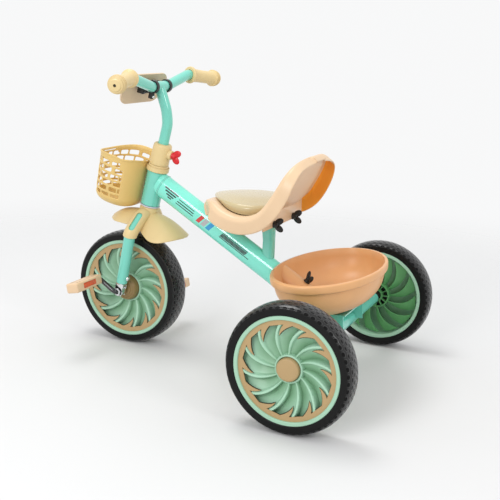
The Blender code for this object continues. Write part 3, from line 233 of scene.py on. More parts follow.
def tube_stripes(paint, base):
    """Adds the main tube's printed bars and stripes, on both of its sides, to a base colour."""
    x, y, z = paint.axes(paint.place(TUBE_END))
    back = (y * -TUBE_ALONG.y) + (z * -TUBE_ALONG.z)
    up = (y * TUBE_UP.y) + (z * TUBE_UP.z)
    side = paint.between(0.006, 0.009, paint.math("ABSOLUTE", x))

    def band(value, low, high):
        return (value > low) * (value < high)

    def slanted(start, end, low, high, lean=-0.35):
        return band(back + up * lean, start, end) * band(up, low, high)

    ink = (0.012, 0.012, 0.014, 1)
    wing = slanted(0.030, 0.066, 0.0085, 0.0115) + slanted(0.036, 0.064, 0.0035, 0.0065) \
        + slanted(0.043, 0.062, -0.0015, 0.0015) + slanted(0.050, 0.060, -0.0060, -0.0032)
    hatch = paint.math("FRACT", (back + up * 0.6) / 0.0032) < 0.85
    tail = slanted(0.186, 0.250, -0.0015, 0.0065) * hatch + slanted(0.186, 0.262, -0.0042, -0.0026) \
        + slanted(0.186, 0.250, 0.0072, 0.0084)
    marks = [
        (slanted(0.128, 0.137, -0.008, 0.009), (0.60, 0.035, 0.03, 1)),
        (slanted(0.140, 0.150, -0.008, 0.009), (0.42, 0.43, 0.44, 1)),
        (slanted(0.153, 0.163, -0.008, 0.009), (0.02, 0.30, 0.62, 1)),
        (paint.math("MINIMUM", wing, 1.0), ink),
        (paint.math("MINIMUM", tail, 1.0), ink),
        (slanted(0.0715, 0.118, -0.0050, -0.0030) + slanted(0.0715, 0.112, 0.0055, 0.0070)
         + slanted(0.0715, 0.115, 0.0000, 0.0022), ink),
    ]
    for mask, ink_there in marks:
        base = paint.mix(mask * side, base, ink_there)
    return base


def moulded(name, colour, roughness=0.42, grain=0.00008, hollow=None):
    """Injection-moulded plastic with fine grain, flow marks and dull scuffs.

    Given the two distances from the middle plane where a rim's relief starts and ends, it is painted darker
    and greener down in the hollows between the blades and lighter on the crests: painted shade and painted
    light.
    """
    plastic = Finish(name, roughness, IOR=1.46)
    here = plastic.place()
    flow = plastic.noise(plastic.place(scale=(1, 1, 0.35)), 26, 4, 0.55)
    # painted shade and light: darker and greener deep in the relief, a lighter copy of the colour on the
    # crests
    if hollow:
        height = plastic.between(*hollow, plastic.math("ABSOLUTE", plastic.axes(here)[0]))
        base = plastic.mix(height, (*tone(HOLLOW_SHADE_GREEN, 0.78), 1), (*tone(colour, 1.1), 1))
    else:
        base = plastic.mix(flow, (*tone(colour, 0.93), 1), (*tone(colour, 1.06), 1))
    plastic.feed("Base Color", base)
    scuffs = plastic.between(0.6, 0.75, plastic.noise(here, 60, 6, 0.7))
    plastic.feed("Roughness", (roughness - 0.05) + scuffs * 0.16 + flow * 0.08)
    plastic.bump(plastic.noise(here, 1300, 2) + plastic.noise(here, 90, 2) * 0.6, grain, 0.6)
    return plastic


def tyre_foam(name, centre, apart):
    """Foam rubber with rows of small oval dimples round its tread; their floors are painted darker (painted
    shade) and a lighter ring round each is a painted glint.
    """
    rubber = Finish(name, 0.5, Specular_IOR_Level=0.2, Coat_Roughness=0.2)
    x, y, z = rubber.axes(rubber.place(centre))
    across = rubber.math("ABSOLUTE", rubber.math("ABSOLUTE", x) - apart)
    radius = rubber.math("SQRT", y * y + z * z)
    lap = rubber.math("ARCTAN2", z, y) * (54 / TURN)
    row = across / 0.0072
    shifted = lap + rubber.math("FLOOR", row + 0.5) * 0.5
    u = rubber.math("FRACT", shifted + 200) - 0.5
    v = rubber.math("FRACT", row + 0.5) - 0.5
    spot = rubber.math("SQRT", (u * u) * 1.5 + (v * v) * 2.2)
    tread = rubber.between(centre[2] - 0.0085, centre[2] - 0.0045, radius)
    dimple = (1 - rubber.between(0.26, 0.44, spot)) * tread
    glint_ring = rubber.between(0.34, 0.44, spot) * (1 - rubber.between(0.44, 0.58, spot)) * tread
    fine = rubber.noise(rubber.place(), 900, 3)
    blotch = rubber.noise(rubber.place(), 40, 4)
    base = rubber.mix(blotch, (0.003, 0.003, 0.003, 1), (0.006, 0.006, 0.006, 1))
    # painted glint: a lighter ring round each dimple
    glint_ringed = rubber.mix(glint_ring * 0.6, base, (0.075, 0.075, 0.076, 1))
    # painted shade: the dimples' floors darker than the tread
    rubber.feed("Base Color", rubber.mix(dimple * 0.9, glint_ringed, (0.001, 0.001, 0.001, 1)))
    rubber.feed("Roughness", 0.30 + blotch * 0.14 - tread * 0.06 + dimple * 0.3)
    rubber.feed("Coat Weight", tread * 0.55 * (1 - dimple))
    rubber.bump(fine * 0.02 - dimple, 0.0060, 1.0)
    return rubber


def bright_plate(name, tint=(0.78, 0.79, 0.80)):
    """Bright plating with hairline scratches and a few dull spots."""
    metal = Finish(name, 0.12, Metallic=1.0)
    here = metal.place()
    scratch = metal.noise(metal.place(scale=(1, 1, 9)), 260, 4, 0.7)
    metal.feed("Base Color", metal.mix(metal.noise(here, 50, 3), (*tone(tint, 0.82), 1), (*tint, 1)))
    metal.feed("Roughness", 0.08 + metal.between(0.45, 0.8, scratch) * 0.22)
    metal.bump(scratch, 0.00004, 0.5)
    return metal


def cushion_vinyl(name, colour):
    """Glossy vinyl: leather grain, painted a little darker in its creases as painted shade."""
    skin = Finish(name, 0.22, Coat_Weight=0.45, Coat_Roughness=0.12, Sheen_Weight=0.08)
    here = skin.place()
    grain = skin.node("TexVoronoi", {"feature": "DISTANCE_TO_EDGE"}, {"Vector": here, "Scale": 520})
    crease = skin.between(0.0, 0.08, grain)
    cloud = skin.noise(here, 18, 4)
    base = skin.mix(cloud, (*tone(colour, 0.92), 1), (*tone(colour, 1.06), 1))
    # painted shade: the grain's creases a little darker
    skin.feed("Base Color", skin.mix(crease, (*tone(colour, 0.95), 1), base))
    skin.feed("Roughness", 0.3 - crease * 0.08 + cloud * 0.06)
    skin.bump(crease, 0.00003, 0.4)
    return skin


def reflector_lens(name, colour):
    """Moulded lens with a fine grid of prisms, each painted lighter at its peak and darker at its edges:
    painted light and shade.
    """
    lens = Finish(name, 0.12, Coat_Weight=0.8, IOR=1.5)
    x, _, z = lens.axes(lens.place())
    prism = lens.math("PINGPONG", x, 0.0011) + lens.math("PINGPONG", z, 0.0011)
    # painted light and shade: colour follows each prism, lighter at its peak
    lens.feed("Base Color", lens.mix(prism / 0.0022, (*tone(colour, 0.6), 1), (*tone(colour, 1.3), 1)))
    lens.feed("Roughness", 0.1 + lens.noise(lens.place(), 80, 3) * 0.14)
    lens.bump(prism, 0.4, 0.6)
    return lens


def hex_colour(code):
    """Linear colour of a six-digit paint code."""
    parts = [int(code[i:i + 2], 16) / 255 for i in (0, 2, 4)]
    return tuple(p / 12.92 if p <= 0.04045 else ((p + 0.055) / 1.055) ** 2.4 for p in parts)


MINT = hex_colour("72cdbb")
RIM_MINT = hex_colour("a0c8ae")
# colour of the painted shade in the hollows of the rim relief
HOLLOW_SHADE_GREEN = hex_colour("8fbf98")
TAN = hex_colour("b3966a")
CREAM = hex_colour("dcc48f")
BASKET_YELLOW = hex_colour("dcbb74")
PEACH = hex_colour("dfc09c")
BIN_PEACH = hex_colour("dca671")
finishes = {
    "mint_paint": sprayed_steel("mint_paint_finish", MINT),
    # painted light: the main tube's paint is the frame mint made 1.28 times lighter, lifting its shaded side
    "striped_tube": sprayed_steel("striped_tube_finish", tone(MINT, 1.28), tube_stripes),
    "mint_plastic": moulded("mint_plastic_finish", RIM_MINT, 0.40),
    # a darker, greener copy of the rim's mint plastic: painted shade on the parts deep on the wheel's inner
    # side
    "shaded_mint": moulded("deep_mint_finish", hex_colour("5c9f62"), 0.45),
    # rim blades with painted shade in their hollows and painted light on their crests
    "rear_blades": moulded("rear_blades_finish", RIM_MINT, 0.36,
                           hollow=(HALF_TRACK - 0.002, HALF_TRACK + 0.015)),
    "front_blades": moulded("front_blades_finish", RIM_MINT, 0.36, hollow=(0.001, 0.0185)),
    "tan_plastic": moulded("tan_plastic_finish", TAN, 0.44),
    "hub_brown": moulded("hub_brown_finish", hex_colour("8c7449"), 0.34),
    "cream_plastic": moulded("cream_plastic_finish", CREAM, 0.40),
    "yellow_plastic": moulded("yellow_plastic_finish", BASKET_YELLOW, 0.42),
    "peach_plastic": moulded("peach_plastic_finish", PEACH, 0.36, grain=0.00005),
    # deep amber for painted light: glow through the plastic and light bounced inside the seat's skirt
    "glow_amber": moulded("amber_plastic_finish", hex_colour("fba233"), 0.42),
    "bin_plastic": moulded("bin_plastic_finish", BIN_PEACH, 0.38),
    "plate_plastic": moulded("plate_plastic_finish", hex_colour("d9bf9f"), 0.45),
    "black_plastic": moulded("black_plastic_finish", (0.012, 0.012, 0.012), 0.38),
    # near-black: painted shadow in the gap round the trims and painted shade in the hub socket
    "shade_black": moulded("gap_black_finish", (0.008, 0.016, 0.012), 0.8),
    "red_plastic": moulded("red_plastic_finish", (0.62, 0.012, 0.018), 0.3),
    "grey_plastic": moulded("grey_plastic_finish", hex_colour("c9c6d3"), 0.4),
    "black_steel": sprayed_steel("black_steel_finish", (0.014, 0.014, 0.015)),
    "chrome": bright_plate("chrome_finish"),
    "pad_vinyl": cushion_vinyl("pad_vinyl_finish", hex_colour("bfae84")),
    "reflector": reflector_lens("reflector_finish", hex_colour("e0562a")),
    "rear_tyre": tyre_foam("rear_tyre_finish", tuple(REAR_AXLE), HALF_TRACK),
    "front_tyre": tyre_foam("front_tyre_finish", tuple(FRONT_AXLE), 0.0),
}


# ------------------------------------------------------------ modelling helpers

moved = Matrix.Translation


def turned(angle, axis):
    return Matrix.Rotation(angle, 4, axis)


def only(*pieces):
    bpy.ops.object.select_all(action="DESELECT")
    for piece in pieces:
        piece.select_set(True)
    bpy.context.view_layer.objects.active = pieces[0]


def named(name):
    piece = bpy.context.active_object
    piece.name = name
    piece.data.name = name
    return piece


def edit(piece):
    only(piece)
    bpy.ops.object.mode_set(mode="EDIT")


def leave():
    bpy.ops.object.mode_set(mode="OBJECT")


def pick_faces(piece, test):
    """Selects the faces whose centre passes a test; the piece is left in edit mode."""
    edit(piece)
    bpy.ops.mesh.select_mode(type="FACE")
    bpy.ops.mesh.select_all(action="DESELECT")
    leave()
    for face in piece.data.polygons:
        face.select = test(face.center)
    bpy.ops.object.mode_set(mode="EDIT")


def tidy(piece, angle=35):
    edit(piece)
    bpy.ops.mesh.select_all(action="SELECT")
    bpy.ops.mesh.remove_doubles(threshold=0.00001)
    bpy.ops.mesh.normals_make_consistent(inside=False)
    leave()
    bpy.ops.object.shade_smooth_by_angle(angle=math.radians(angle))
    return piece


def settle(piece, matrix):
    """Puts a piece in its place and leaves its object at the origin."""
    only(piece)
    piece.matrix_world = matrix
    bpy.ops.object.transform_apply(location=True, rotation=True, scale=True)
    return piece


def modify(piece, kind, **settings):
    only(piece)
    modifier = piece.modifiers.new(kind.lower(), kind)
    for key, value in settings.items():
        setattr(modifier, key, value)
    bpy.ops.object.modifier_apply(modifier=modifier.name)
    return piece


def round_edges(piece, width, segments=3, angle=30):
    modify(piece, "BEVEL", width=width, segments=segments, limit_method="ANGLE",
           angle_limit=math.radians(angle))
    return piece


def soften(piece, levels=1):
    return modify(piece, "SUBSURF", levels=levels, render_levels=levels)


def carve(piece, cutter, operation="DIFFERENCE"):
    modify(piece, "BOOLEAN", operation=operation, object=cutter, solver="EXACT")
    bpy.data.objects.remove(cutter, do_unlink=True)
    return piece


def lathe(name, profile, steps=64, angle=35):
    """Draws a profile of (radius, height) points edge by edge and spins it about Z."""
    bpy.ops.object.select_all(action="DESELECT")
    bpy.ops.mesh.primitive_plane_add(size=0.01, location=(0, 0, 0))
    piece = named(name)
    bpy.ops.object.mode_set(mode="EDIT")
    bpy.ops.mesh.select_mode(type="VERT")
    bpy.ops.mesh.select_all(action="SELECT")
    bpy.ops.mesh.merge(type="CENTER")
    (r, z) = profile[0]
    bpy.ops.transform.translate(value=(r, 0, z))
    for (r1, z1), (r2, z2) in zip(profile, profile[1:]):
        bpy.ops.mesh.extrude_region_move(TRANSFORM_OT_translate={"value": (r2 - r1, 0, z2 - z1)})
    bpy.ops.mesh.select_all(action="SELECT")
    bpy.ops.mesh.spin(steps=steps, angle=TURN, center=(0, 0, 0), axis=(0, 0, 1))
    leave()
    return tidy(piece, angle)


def sheet_of(name, across, along, shape, close_round=False):
    """A grid primitive whose points lie at shape(u, v), both from 0 to 1."""
    bpy.ops.object.select_all(action="DESELECT")
    bpy.ops.mesh.primitive_grid_add(x_subdivisions=across, y_subdivisions=along, size=1, location=(0, 0, 0))
    piece = named(name)
    for vert in piece.data.vertices:
        vert.co = shape(vert.co.x + 0.5, vert.co.y + 0.5)
    if close_round:
        edit(piece)
        bpy.ops.mesh.select_all(action="SELECT")
        bpy.ops.mesh.remove_doubles(threshold=0.00002)
        leave()
    return piece


def face_up(piece):
    """Turns all of a sheet's faces to its upper side."""
    edit(piece)
    bpy.ops.mesh.select_all(action="SELECT")
    bpy.ops.mesh.normals_make_consistent(inside=False)
    leave()
    if sum(face.normal.z for face in piece.data.polygons) < 0:
        edit(piece)
        bpy.ops.mesh.select_all(action="SELECT")
        bpy.ops.mesh.flip_normals()
        leave()


def slab(name, size, bevel=0.0, segments=2):
    bpy.ops.object.select_all(action="DESELECT")
    bpy.ops.mesh.primitive_cube_add(size=1, location=(0, 0, 0))
    piece = named(name)
    piece.scale = size
    bpy.ops.object.transform_apply(location=True, rotation=True, scale=True)
    if bevel:
        round_edges(piece, bevel, segments)
    bpy.ops.object.shade_smooth_by_angle(angle=math.radians(35))
    return piece


def easy_bends(points, radius, steps=10):
    """A polyline with its inner corners rounded."""
    points = [Vector(p) for p in points]
    path = [points[0]]
    for before, corner, after in zip(points, points[1:], points[2:]):
        into = (corner - before).normalized()
        away = (after - corner).normalized()
        room = min((corner - before).length, (after - corner).length) * 0.49
        reach = min(radius * math.tan(into.angle(away) / 2), room)
        for i in range(steps + 1):
            t = i / steps
            path.append((corner - into * reach) * (1 - t) ** 2 + corner * 2 * t * (1 - t)
                        + (corner + away * reach) * t ** 2)
    return path + [points[-1]]


def bent_tube(name, points, radius, sides=8):
    """A round bar along a path, made a mesh."""
    bpy.ops.object.select_all(action="DESELECT")
    line = bpy.data.curves.new(name, "CURVE")
    line.dimensions = "3D"
    line.bevel_depth = radius
    line.bevel_resolution = sides
    line.use_fill_caps = True
    spline = line.splines.new("POLY")
    spline.points.add(len(points) - 1)
    for target, point in zip(spline.points, points):
        target.co = (*point, 1)
    piece = bpy.data.objects.new(name, line)
    bpy.context.scene.collection.objects.link(piece)
    only(piece)
    bpy.ops.object.convert(target="MESH")
    return tidy(named(name))


def cut_plate(name, outlines, thickness):
    """A flat plate in XY: the first outline is its edge, the others are its openings."""
    line = bpy.data.curves.new(name, "CURVE")
    line.dimensions = "2D"
    line.fill_mode = "BOTH"
    line.extrude = thickness / 2
    for outline in outlines:
        spline = line.splines.new("POLY")
        spline.points.add(len(outline) - 1)
        for target, (x, y) in zip(spline.points, outline):
            target.co = (x, y, 0, 1)
        spline.use_cyclic_u = True
    piece = bpy.data.objects.new(name, line)
    bpy.context.scene.collection.objects.link(piece)
    only(piece)
    bpy.ops.object.convert(target="MESH")
    return tidy(named(name))


def copy_of(piece, name):
    only(piece)
    bpy.ops.object.duplicate()
    return named(name)


def merge(name, *pieces):
    only(*pieces)
    bpy.ops.object.join()
    return named(name)


def fit(piece, body, slot, *nodes, finish=None):
    """Gives a piece its finish, the body it moves with and the nodes it stands for."""
    if not piece.data.materials:
        piece.data.materials.append(finishes[finish or slot].material)
    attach(piece, body)
    if nodes:
        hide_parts(*nodes)
    return piece


def polar(radius, degrees):
    return (radius * math.cos(math.radians(degrees)), radius * math.sin(math.radians(degrees)))


def ease(t):
    t = max(0.0, min(1.0, t))
    return t * t * (3 - 2 * t)


# ------------------------------------------------------------ wheels

def tyre(name, radius, rim_r, half):
    """Foam tyre: flat side, a proud shoulder line and a slightly rounded tread."""
    side = [
        (rim_r + 0.0004, half - 0.0032), (rim_r + 0.0004, half - 0.0004), (rim_r + 0.0014, half + 0.0003),
        (radius - 0.0085, half + 0.0003), (radius - 0.0070, half + 0.0001), (radius - 0.0062, half - 0.0012),
        (radius - 0.0048, half - 0.0016), (radius - 0.0028, half - 0.0042), (radius - 0.0014, half - 0.0085),
        (radius - 0.0004, half - 0.014), (radius, 0.0030),
    ]
    profile = side + [(r, -z) for r, z in reversed(side)]
    return lathe(name, profile + [side[0]], 96, 28)


def blade_lean(t, sweep):
    """Turn of a blade, hub (0) to rim (1): nearly straight at first, then sweeping back."""
    return sweep * (0.55 * t + 0.45 * t * t)


def dish_height(inner, outer, hub_z, rim_z, drop, sweep, r, degrees):
    """Height of the relief at a radius and angle: a crest, a steep fall, then a slow rise."""
    t = max(0.0, min(1.0, (r - inner) / (outer - inner)))
    phase = ((degrees - blade_lean(t, sweep)) / (360 / BLADES)) % 1.0
    if sweep > 0:
        phase = (1.0 - phase) % 1.0
    top = hub_z + (rim_z - hub_z) * ease(t * 1.15) + 0.002 * math.sin(math.pi * t)
    depth = drop * (0.40 + 0.35 * ease(t * 2.0))
    crest = 0.19 - 0.05 * t
    fall = 0.07
    if phase < crest:
        return top + 0.0006 * math.sin(math.pi * phase / crest)
    if phase < crest + fall:
        return top - depth * ease((phase - crest) / fall)
    rise = (phase - crest - fall) / (1 - crest - fall)
    return top - depth * (1 - 0.62 * rise) + depth * 0.38 * ease((rise - 0.93) / 0.07)


def turbine_dish(name, inner, outer, hub_z, rim_z, drop, sweep, columns=40, rows=28):
    """The relief between hub and rim: twelve swept blades with hollow panels between them."""
    def shape(u, v):
        degrees = 360 * u
        r = inner + (outer - inner) * v
        return Vector((*polar(r, degrees), dish_height(inner, outer, hub_z, rim_z, drop, sweep, r, degrees)))

    dish = sheet_of(name, BLADES * columns, rows, shape, close_round=True)
    face_up(dish)
    modify(dish, "SOLIDIFY", thickness=0.0018, offset=-1, use_even_offset=False)
    bpy.ops.object.shade_smooth_by_angle(angle=math.radians(50))
    return dish


def tooth_outline(outer, sweep, grow=0.0):
    """Inner edge of the trim: a hooked tooth lies along each blade."""
    valley = outer * 0.902 - grow
    tip = outer * 0.69 - grow
    lean = math.copysign(1, sweep)
    points = []
    for i in range(BLADES):
        root = 360 * i / BLADES + sweep * 0.61
        tooth = []
        for step in range(6):
            t = step / 5
            r = valley + (tip - valley) * t
            tooth.append(polar(r, root + lean * (8 * (1 - t) ** 1.5 - math.degrees(grow / r))))
        for step in range(1, 7):
            t = 1 - step / 6
            r = valley + (tip - valley) * t
            tooth.append(polar(r, root + lean * (19.5 * (1 - t) ** 1.25 + math.degrees(grow / r))))
        points += tooth if sweep > 0 else list(reversed(tooth))
    return points


def circle_points(radius, steps=96):
    return [polar(radius, 360 * (i + 0.37) / steps) for i in range(steps)]


def trim(name, rim_r, low, sweep):
    """Tan ring with its teeth, on a near-black sheet just below it that shows as a thin line round it:
    painted shadow in the gap between ring and rim.
    """
    outer = rim_r - 0.0064
    plate = cut_plate(name, [circle_points(outer), tooth_outline(outer, sweep)], 0.0024)
    round_edges(plate, 0.0004, 2)
    settle(plate, moved((0, 0, low + 0.0014)))
    # painted shadow: a near-black sheet a little larger than the ring, just below it
    shade_line = cut_plate(name + "_seam", [circle_points(outer + 0.0006), tooth_outline(outer, sweep, 0.0009)],
                     0.0008)
    settle(shade_line, moved((0, 0, low + 0.0006)))
    return plate, shade_line


def rim_barrel(name, rim_r, half):
    """Barrel with a rounded flange at each side."""
    side = [(rim_r - 0.0074, half - 0.007), (rim_r - 0.0070, half - 0.0010), (rim_r - 0.0058, half + 0.0002),
            (rim_r - 0.0010, half + 0.0004), (rim_r, half - 0.0006), (rim_r, half - 0.0026),
            (rim_r - 0.0030, half - 0.0030)]
    profile = side + [(r, -z) for r, z in reversed(side)]
    return lathe(name, profile + [side[0]], 96, 30)


def rear_wheel(side, tag):
    hub = moved((side * HALF_TRACK, REAR_AXLE.y, REAR_AXLE.z)) @ turned(side * TURN / 4, "Y")
    body = f"rear_wheel_{tag}"
    rubber = settle(tyre(f"rear_tyre_{tag}_foam", REAR_TYRE_R, REAR_RIM_R, REAR_TYRE_HALF), hub)
    fit(rubber, body, "tyre_foam", f"rear_tyre_{tag}", finish="rear_tyre")
    barrel = settle(rim_barrel(f"rear_rim_{tag}_barrel", REAR_RIM_R, REAR_TYRE_HALF), hub)
    fit(barrel, body, "mint_plastic", f"rear_rim_{tag}")
    dish = turbine_dish(f"rear_rim_{tag}_blades", 0.024, REAR_RIM_R - 0.0072, 0.0070, 0.0168, 0.0195, -SWEEP)
    fit(settle(dish, hub), body, "mint_plastic", finish="rear_blades")
    boss = lathe(f"rear_rim_{tag}_boss",
                 [(0.0215, -0.004), (0.0215, 0.0085), (0.0228, 0.0098), (0.0250, 0.0088),
                  (0.0262, 0.0040), (0.0265, -0.004), (0.0215, -0.004)], 64)
    fit(settle(boss, hub), body, "mint_plastic")
    cap = lathe(f"hub_cap_{tag}_disc", [(0.0, 0.0160), (0.0160, 0.0159), (0.0184, 0.0155), (0.0198, 0.0144),
                                        (0.0205, 0.0126), (0.0206, 0.0030), (0.0, 0.0030)], 64, 50)
    fit(settle(cap, hub), body, "tan_plastic", f"hub_cap_{tag}")
    ring, shade_line = trim(f"rear_trim_{tag}_ring", REAR_RIM_R, 0.0166, -SWEEP)
    fit(settle(ring, hub), body, "tan_plastic", f"rear_trim_{tag}")
    # painted shadow round the trim
    fit(settle(shade_line, hub), body, "black_plastic", finish="shade_black")
    # painted shade: the hub's inner ring and ribs take the darker copy of the rim mint
    fit(settle(rear_hub_inside(f"rear_rim_{tag}_hub"), hub), body, "mint_plastic", finish="shaded_mint")
    # painted shade: a near-black disc standing in for the dark inside of the hub socket
    back = lathe(f"rear_rim_{tag}_socket",
                 [(0.0, -0.0125), (0.0255, -0.0125), (0.0255, -0.0105), (0.0, -0.0105)], 48)
    fit(settle(back, hub), body, "black_plastic", finish="shade_black")
    # painted shade: the fan takes the darker copy of the rim mint
    fan = inner_fan(f"rear_rim_{tag}_fan")
    fit(settle(fan, hub), body, "mint_plastic", finish="shaded_mint")


def rear_hub_inside(name):
    """Ring and spokes moulded round the bush on the wheel's inner side."""
    ring = lathe(name,
                 [(0.0245, -0.004), (0.0270, -0.004), (0.0270, -0.0195), (0.0262, -0.0205), (0.0245, -0.0200),
                  (0.0245, -0.004)], 64)
    collar = lathe("collar", [(0.0105, -0.004), (0.0138, -0.004), (0.0138, -0.0215), (0.0105, -0.0215),
                              (0.0105, -0.004)], 48)
    ribs = []
    for i in range(BLADES):
        rib = slab(f"rib_{i}", (0.0125, 0.0014, 0.012), 0.0003, 1)
        ribs.append(settle(rib, turned(TURN * i / BLADES, "Z") @ moved((0.0193, 0, -0.0150))))
    return merge(name, ring, collar, *ribs)


def inner_fan(name):
    """Blades seen from the axle side: tilted vanes between the hub ring and the barrel."""
    vanes = []
    for i in range(BLADES):
        def shape(u, v, turn=i * 360 / BLADES):
            r = 0.027 + (REAR_RIM_R - 0.0112 - 0.027) * v
            spread = (u - 0.5) * (10 + 12 * v)
            z = -0.0135 + 0.0095 * u - 0.002 * v
            return Vector((*polar(r, turn + blade_lean(v, -SWEEP) + spread), z))

        vane = sheet_of(f"vane_{i}", 3, 8, shape)
        modify(vane, "SOLIDIFY", thickness=0.0016, offset=0)
        vanes.append(tidy(vane, 40))
    return merge(name, *vanes)


def front_wheel():
    hub = moved(FRONT_AXLE) @ turned(TURN / 4, "Y")
    flip = turned(TURN / 2, "X")
    body = "front_wheel"
    rubber = settle(tyre("front_tyre_foam", FRONT_TYRE_R, FRONT_RIM_R, FRONT_TYRE_HALF), hub)
    fit(rubber, body, "tyre_foam", "front_tyre", finish="front_tyre")
    fit(settle(rim_barrel("front_rim_barrel", FRONT_RIM_R, FRONT_TYRE_HALF), hub), body, "mint_plastic",
        "front_rim")
    for tag, place, sweep in (("right", hub, SWEEP), ("left", hub @ flip, -SWEEP)):
        dish = turbine_dish(f"front_rim_blades_{tag}", 0.030, FRONT_RIM_R - 0.0072, 0.0120, 0.0200, 0.0195,
                            sweep)
        fit(settle(dish, place), body, "mint_plastic", finish="front_blades")
        boss = lathe(f"front_rim_boss_{tag}",
                     [(0.0272, 0.002), (0.0272, 0.0150), (0.0288, 0.0162), (0.0306, 0.0150),
                      (0.0318, 0.0080), (0.0320, 0.002), (0.0272, 0.002)], 64)
        fit(settle(boss, place), body, "mint_plastic")
        ring, shade_line = trim(f"front_trim_{tag}_ring", FRONT_RIM_R, 0.0201, sweep)
        fit(settle(ring, place), body, "tan_plastic", f"front_trim_{tag}")
        # painted shadow round the trim
        fit(settle(shade_line, place), body, "black_plastic", finish="shade_black")
        cover = lathe(f"front_hub_cover_{tag}_dome", [
            (0.0055, 0.0338), (0.0125, 0.0336), (0.0150, 0.0330), (0.0156, 0.0318), (0.0168, 0.0318),
            (0.0174, 0.0320), (0.0205, 0.0300), (0.0212, 0.0288), (0.0222, 0.0286), (0.0228, 0.0282),
            (0.0245, 0.0262), (0.0258, 0.0225), (0.0265, 0.0170), (0.0266, 0.0120), (0.0, 0.0120),
            (0.0, 0.0300), (0.0055, 0.0300), (0.0055, 0.0338)], 64)
        fit(settle(cover, place), body, "tan_plastic", f"front_hub_cover_{tag}", finish="hub_brown")


# ------------------------------------------------------------ frame

def oval_tube(name, start, length, half_x, half_y, sides=72):
    bpy.ops.object.select_all(action="DESELECT")
    bpy.ops.mesh.primitive_cylinder_add(vertices=sides, radius=1, depth=1, location=(0, 0, 0))
    tube = named(name)
    tube.scale = (half_x, half_y, length)
    bpy.ops.object.transform_apply(location=True, rotation=True, scale=True)
    tilt = turned(math.atan2(TUBE_ALONG.z, TUBE_ALONG.y) - TURN / 4, "X")
    settle(tube, moved(start + TUBE_ALONG * length / 2) @ tilt)
    bpy.ops.object.shade_smooth_by_angle(angle=math.radians(35))
    return tube


def build_frame_tubes():
    length = (TUBE_END - REAR_AXLE).length - 0.012
    tube = oval_tube("main_tube_body", REAR_AXLE + TUBE_ALONG * 0.004, length - 0.004,
                     TUBE_HALF_X, TUBE_HALF_Y)
    fit(tube, "frame", "mint_paint", "main_tube", finish="striped_tube")
    weld = oval_tube("main_tube_weld", TUBE_END - TUBE_ALONG * 0.0245, 0.0042, 0.0199, 0.0247)
    round_edges(weld, 0.0012, 3)
    fit(weld, "frame", "mint_paint")
    head = lathe("head_tube_body", [(0.0148, 0.2604), (0.0190, 0.2604), (0.0200, 0.2596), (0.0200, 0.1890),
                                    (0.0192, 0.1879), (0.0148, 0.1879), (0.0148, 0.2604)], 72)
    fit(settle(head, HEAD), "frame", "mint_paint", "head_tube")
    washer = lathe("head_ring_washer",
                   [(0.0148, 0.1873), (0.0205, 0.1873), (0.0213, 0.1864), (0.0213, 0.1855),
                    (0.0205, 0.1848), (0.0148, 0.1848), (0.0148, 0.1873)], 64)
    fit(settle(washer, HEAD), "frame", "grey_plastic", "head_ring")
    cover = lathe("head_cover_cup", [(0.0148, 0.2746), (0.0196, 0.2746), (0.0207, 0.2738), (0.0209, 0.2700),
                                     (0.0212, 0.2612), (0.0206, 0.2606), (0.0148, 0.2606),
                                     (0.0148, 0.2746)], 64)
    fit(settle(cover, HEAD), "frame", "cream_plastic", "head_cover")
    cross = lathe("rear_cross_tube_body",
                  [(0.0110, 0.204), (0.0119, 0.204), (0.0125, 0.2034), (0.0125, -0.2034),
                   (0.0119, -0.204), (0.0110, -0.204), (0.0110, 0.204)], 64)
    across = moved(REAR_AXLE) @ turned(TURN / 4, "Y")
    fit(settle(cross, across), "frame", "mint_paint", "rear_cross_tube")


def butterfly(name, place, slot, body, node, ear=(0.0125, 0.0052, 0.0190)):
    """A wing screw: hub on Z with a waist and two leaning ears."""
    hub = lathe("hub", [(0, 0.0105), (0.0042, 0.0102), (0.0056, 0.0088), (0.0056, 0.0035), (0.0068, 0.0012),
                        (0.0068, 0.0002), (0.0030, 0.0002), (0.0030, -0.0085), (0, -0.0085)], 40)
    ears = []
    for side in (-1, 1):
        bpy.ops.object.select_all(action="DESELECT")
        bpy.ops.mesh.primitive_uv_sphere_add(segments=28, ring_count=18, radius=0.5)
        lobe = settle(named("ear"), Matrix.Diagonal((*ear, 1)))
        lean = turned(math.radians(31 * side), "Y") @ moved((0, 0, 0.0125))
        ears.append(settle(lobe, lean))
    whole = merge(name, hub, *ears)
    return fit(settle(whole, place), body, slot, node)


# ------------------------------------------------------------ fork and front cover

FORK_LINE = [(0.004, 0, 0.1680), (0.024, 0, 0.1670), (0.0550, 0, 0.132), (LEG_END_X, 0, 0.0200)]


def fork_path(side, radius=0.024):
    return easy_bends([(x * side, y, z) for x, y, z in FORK_LINE], radius)


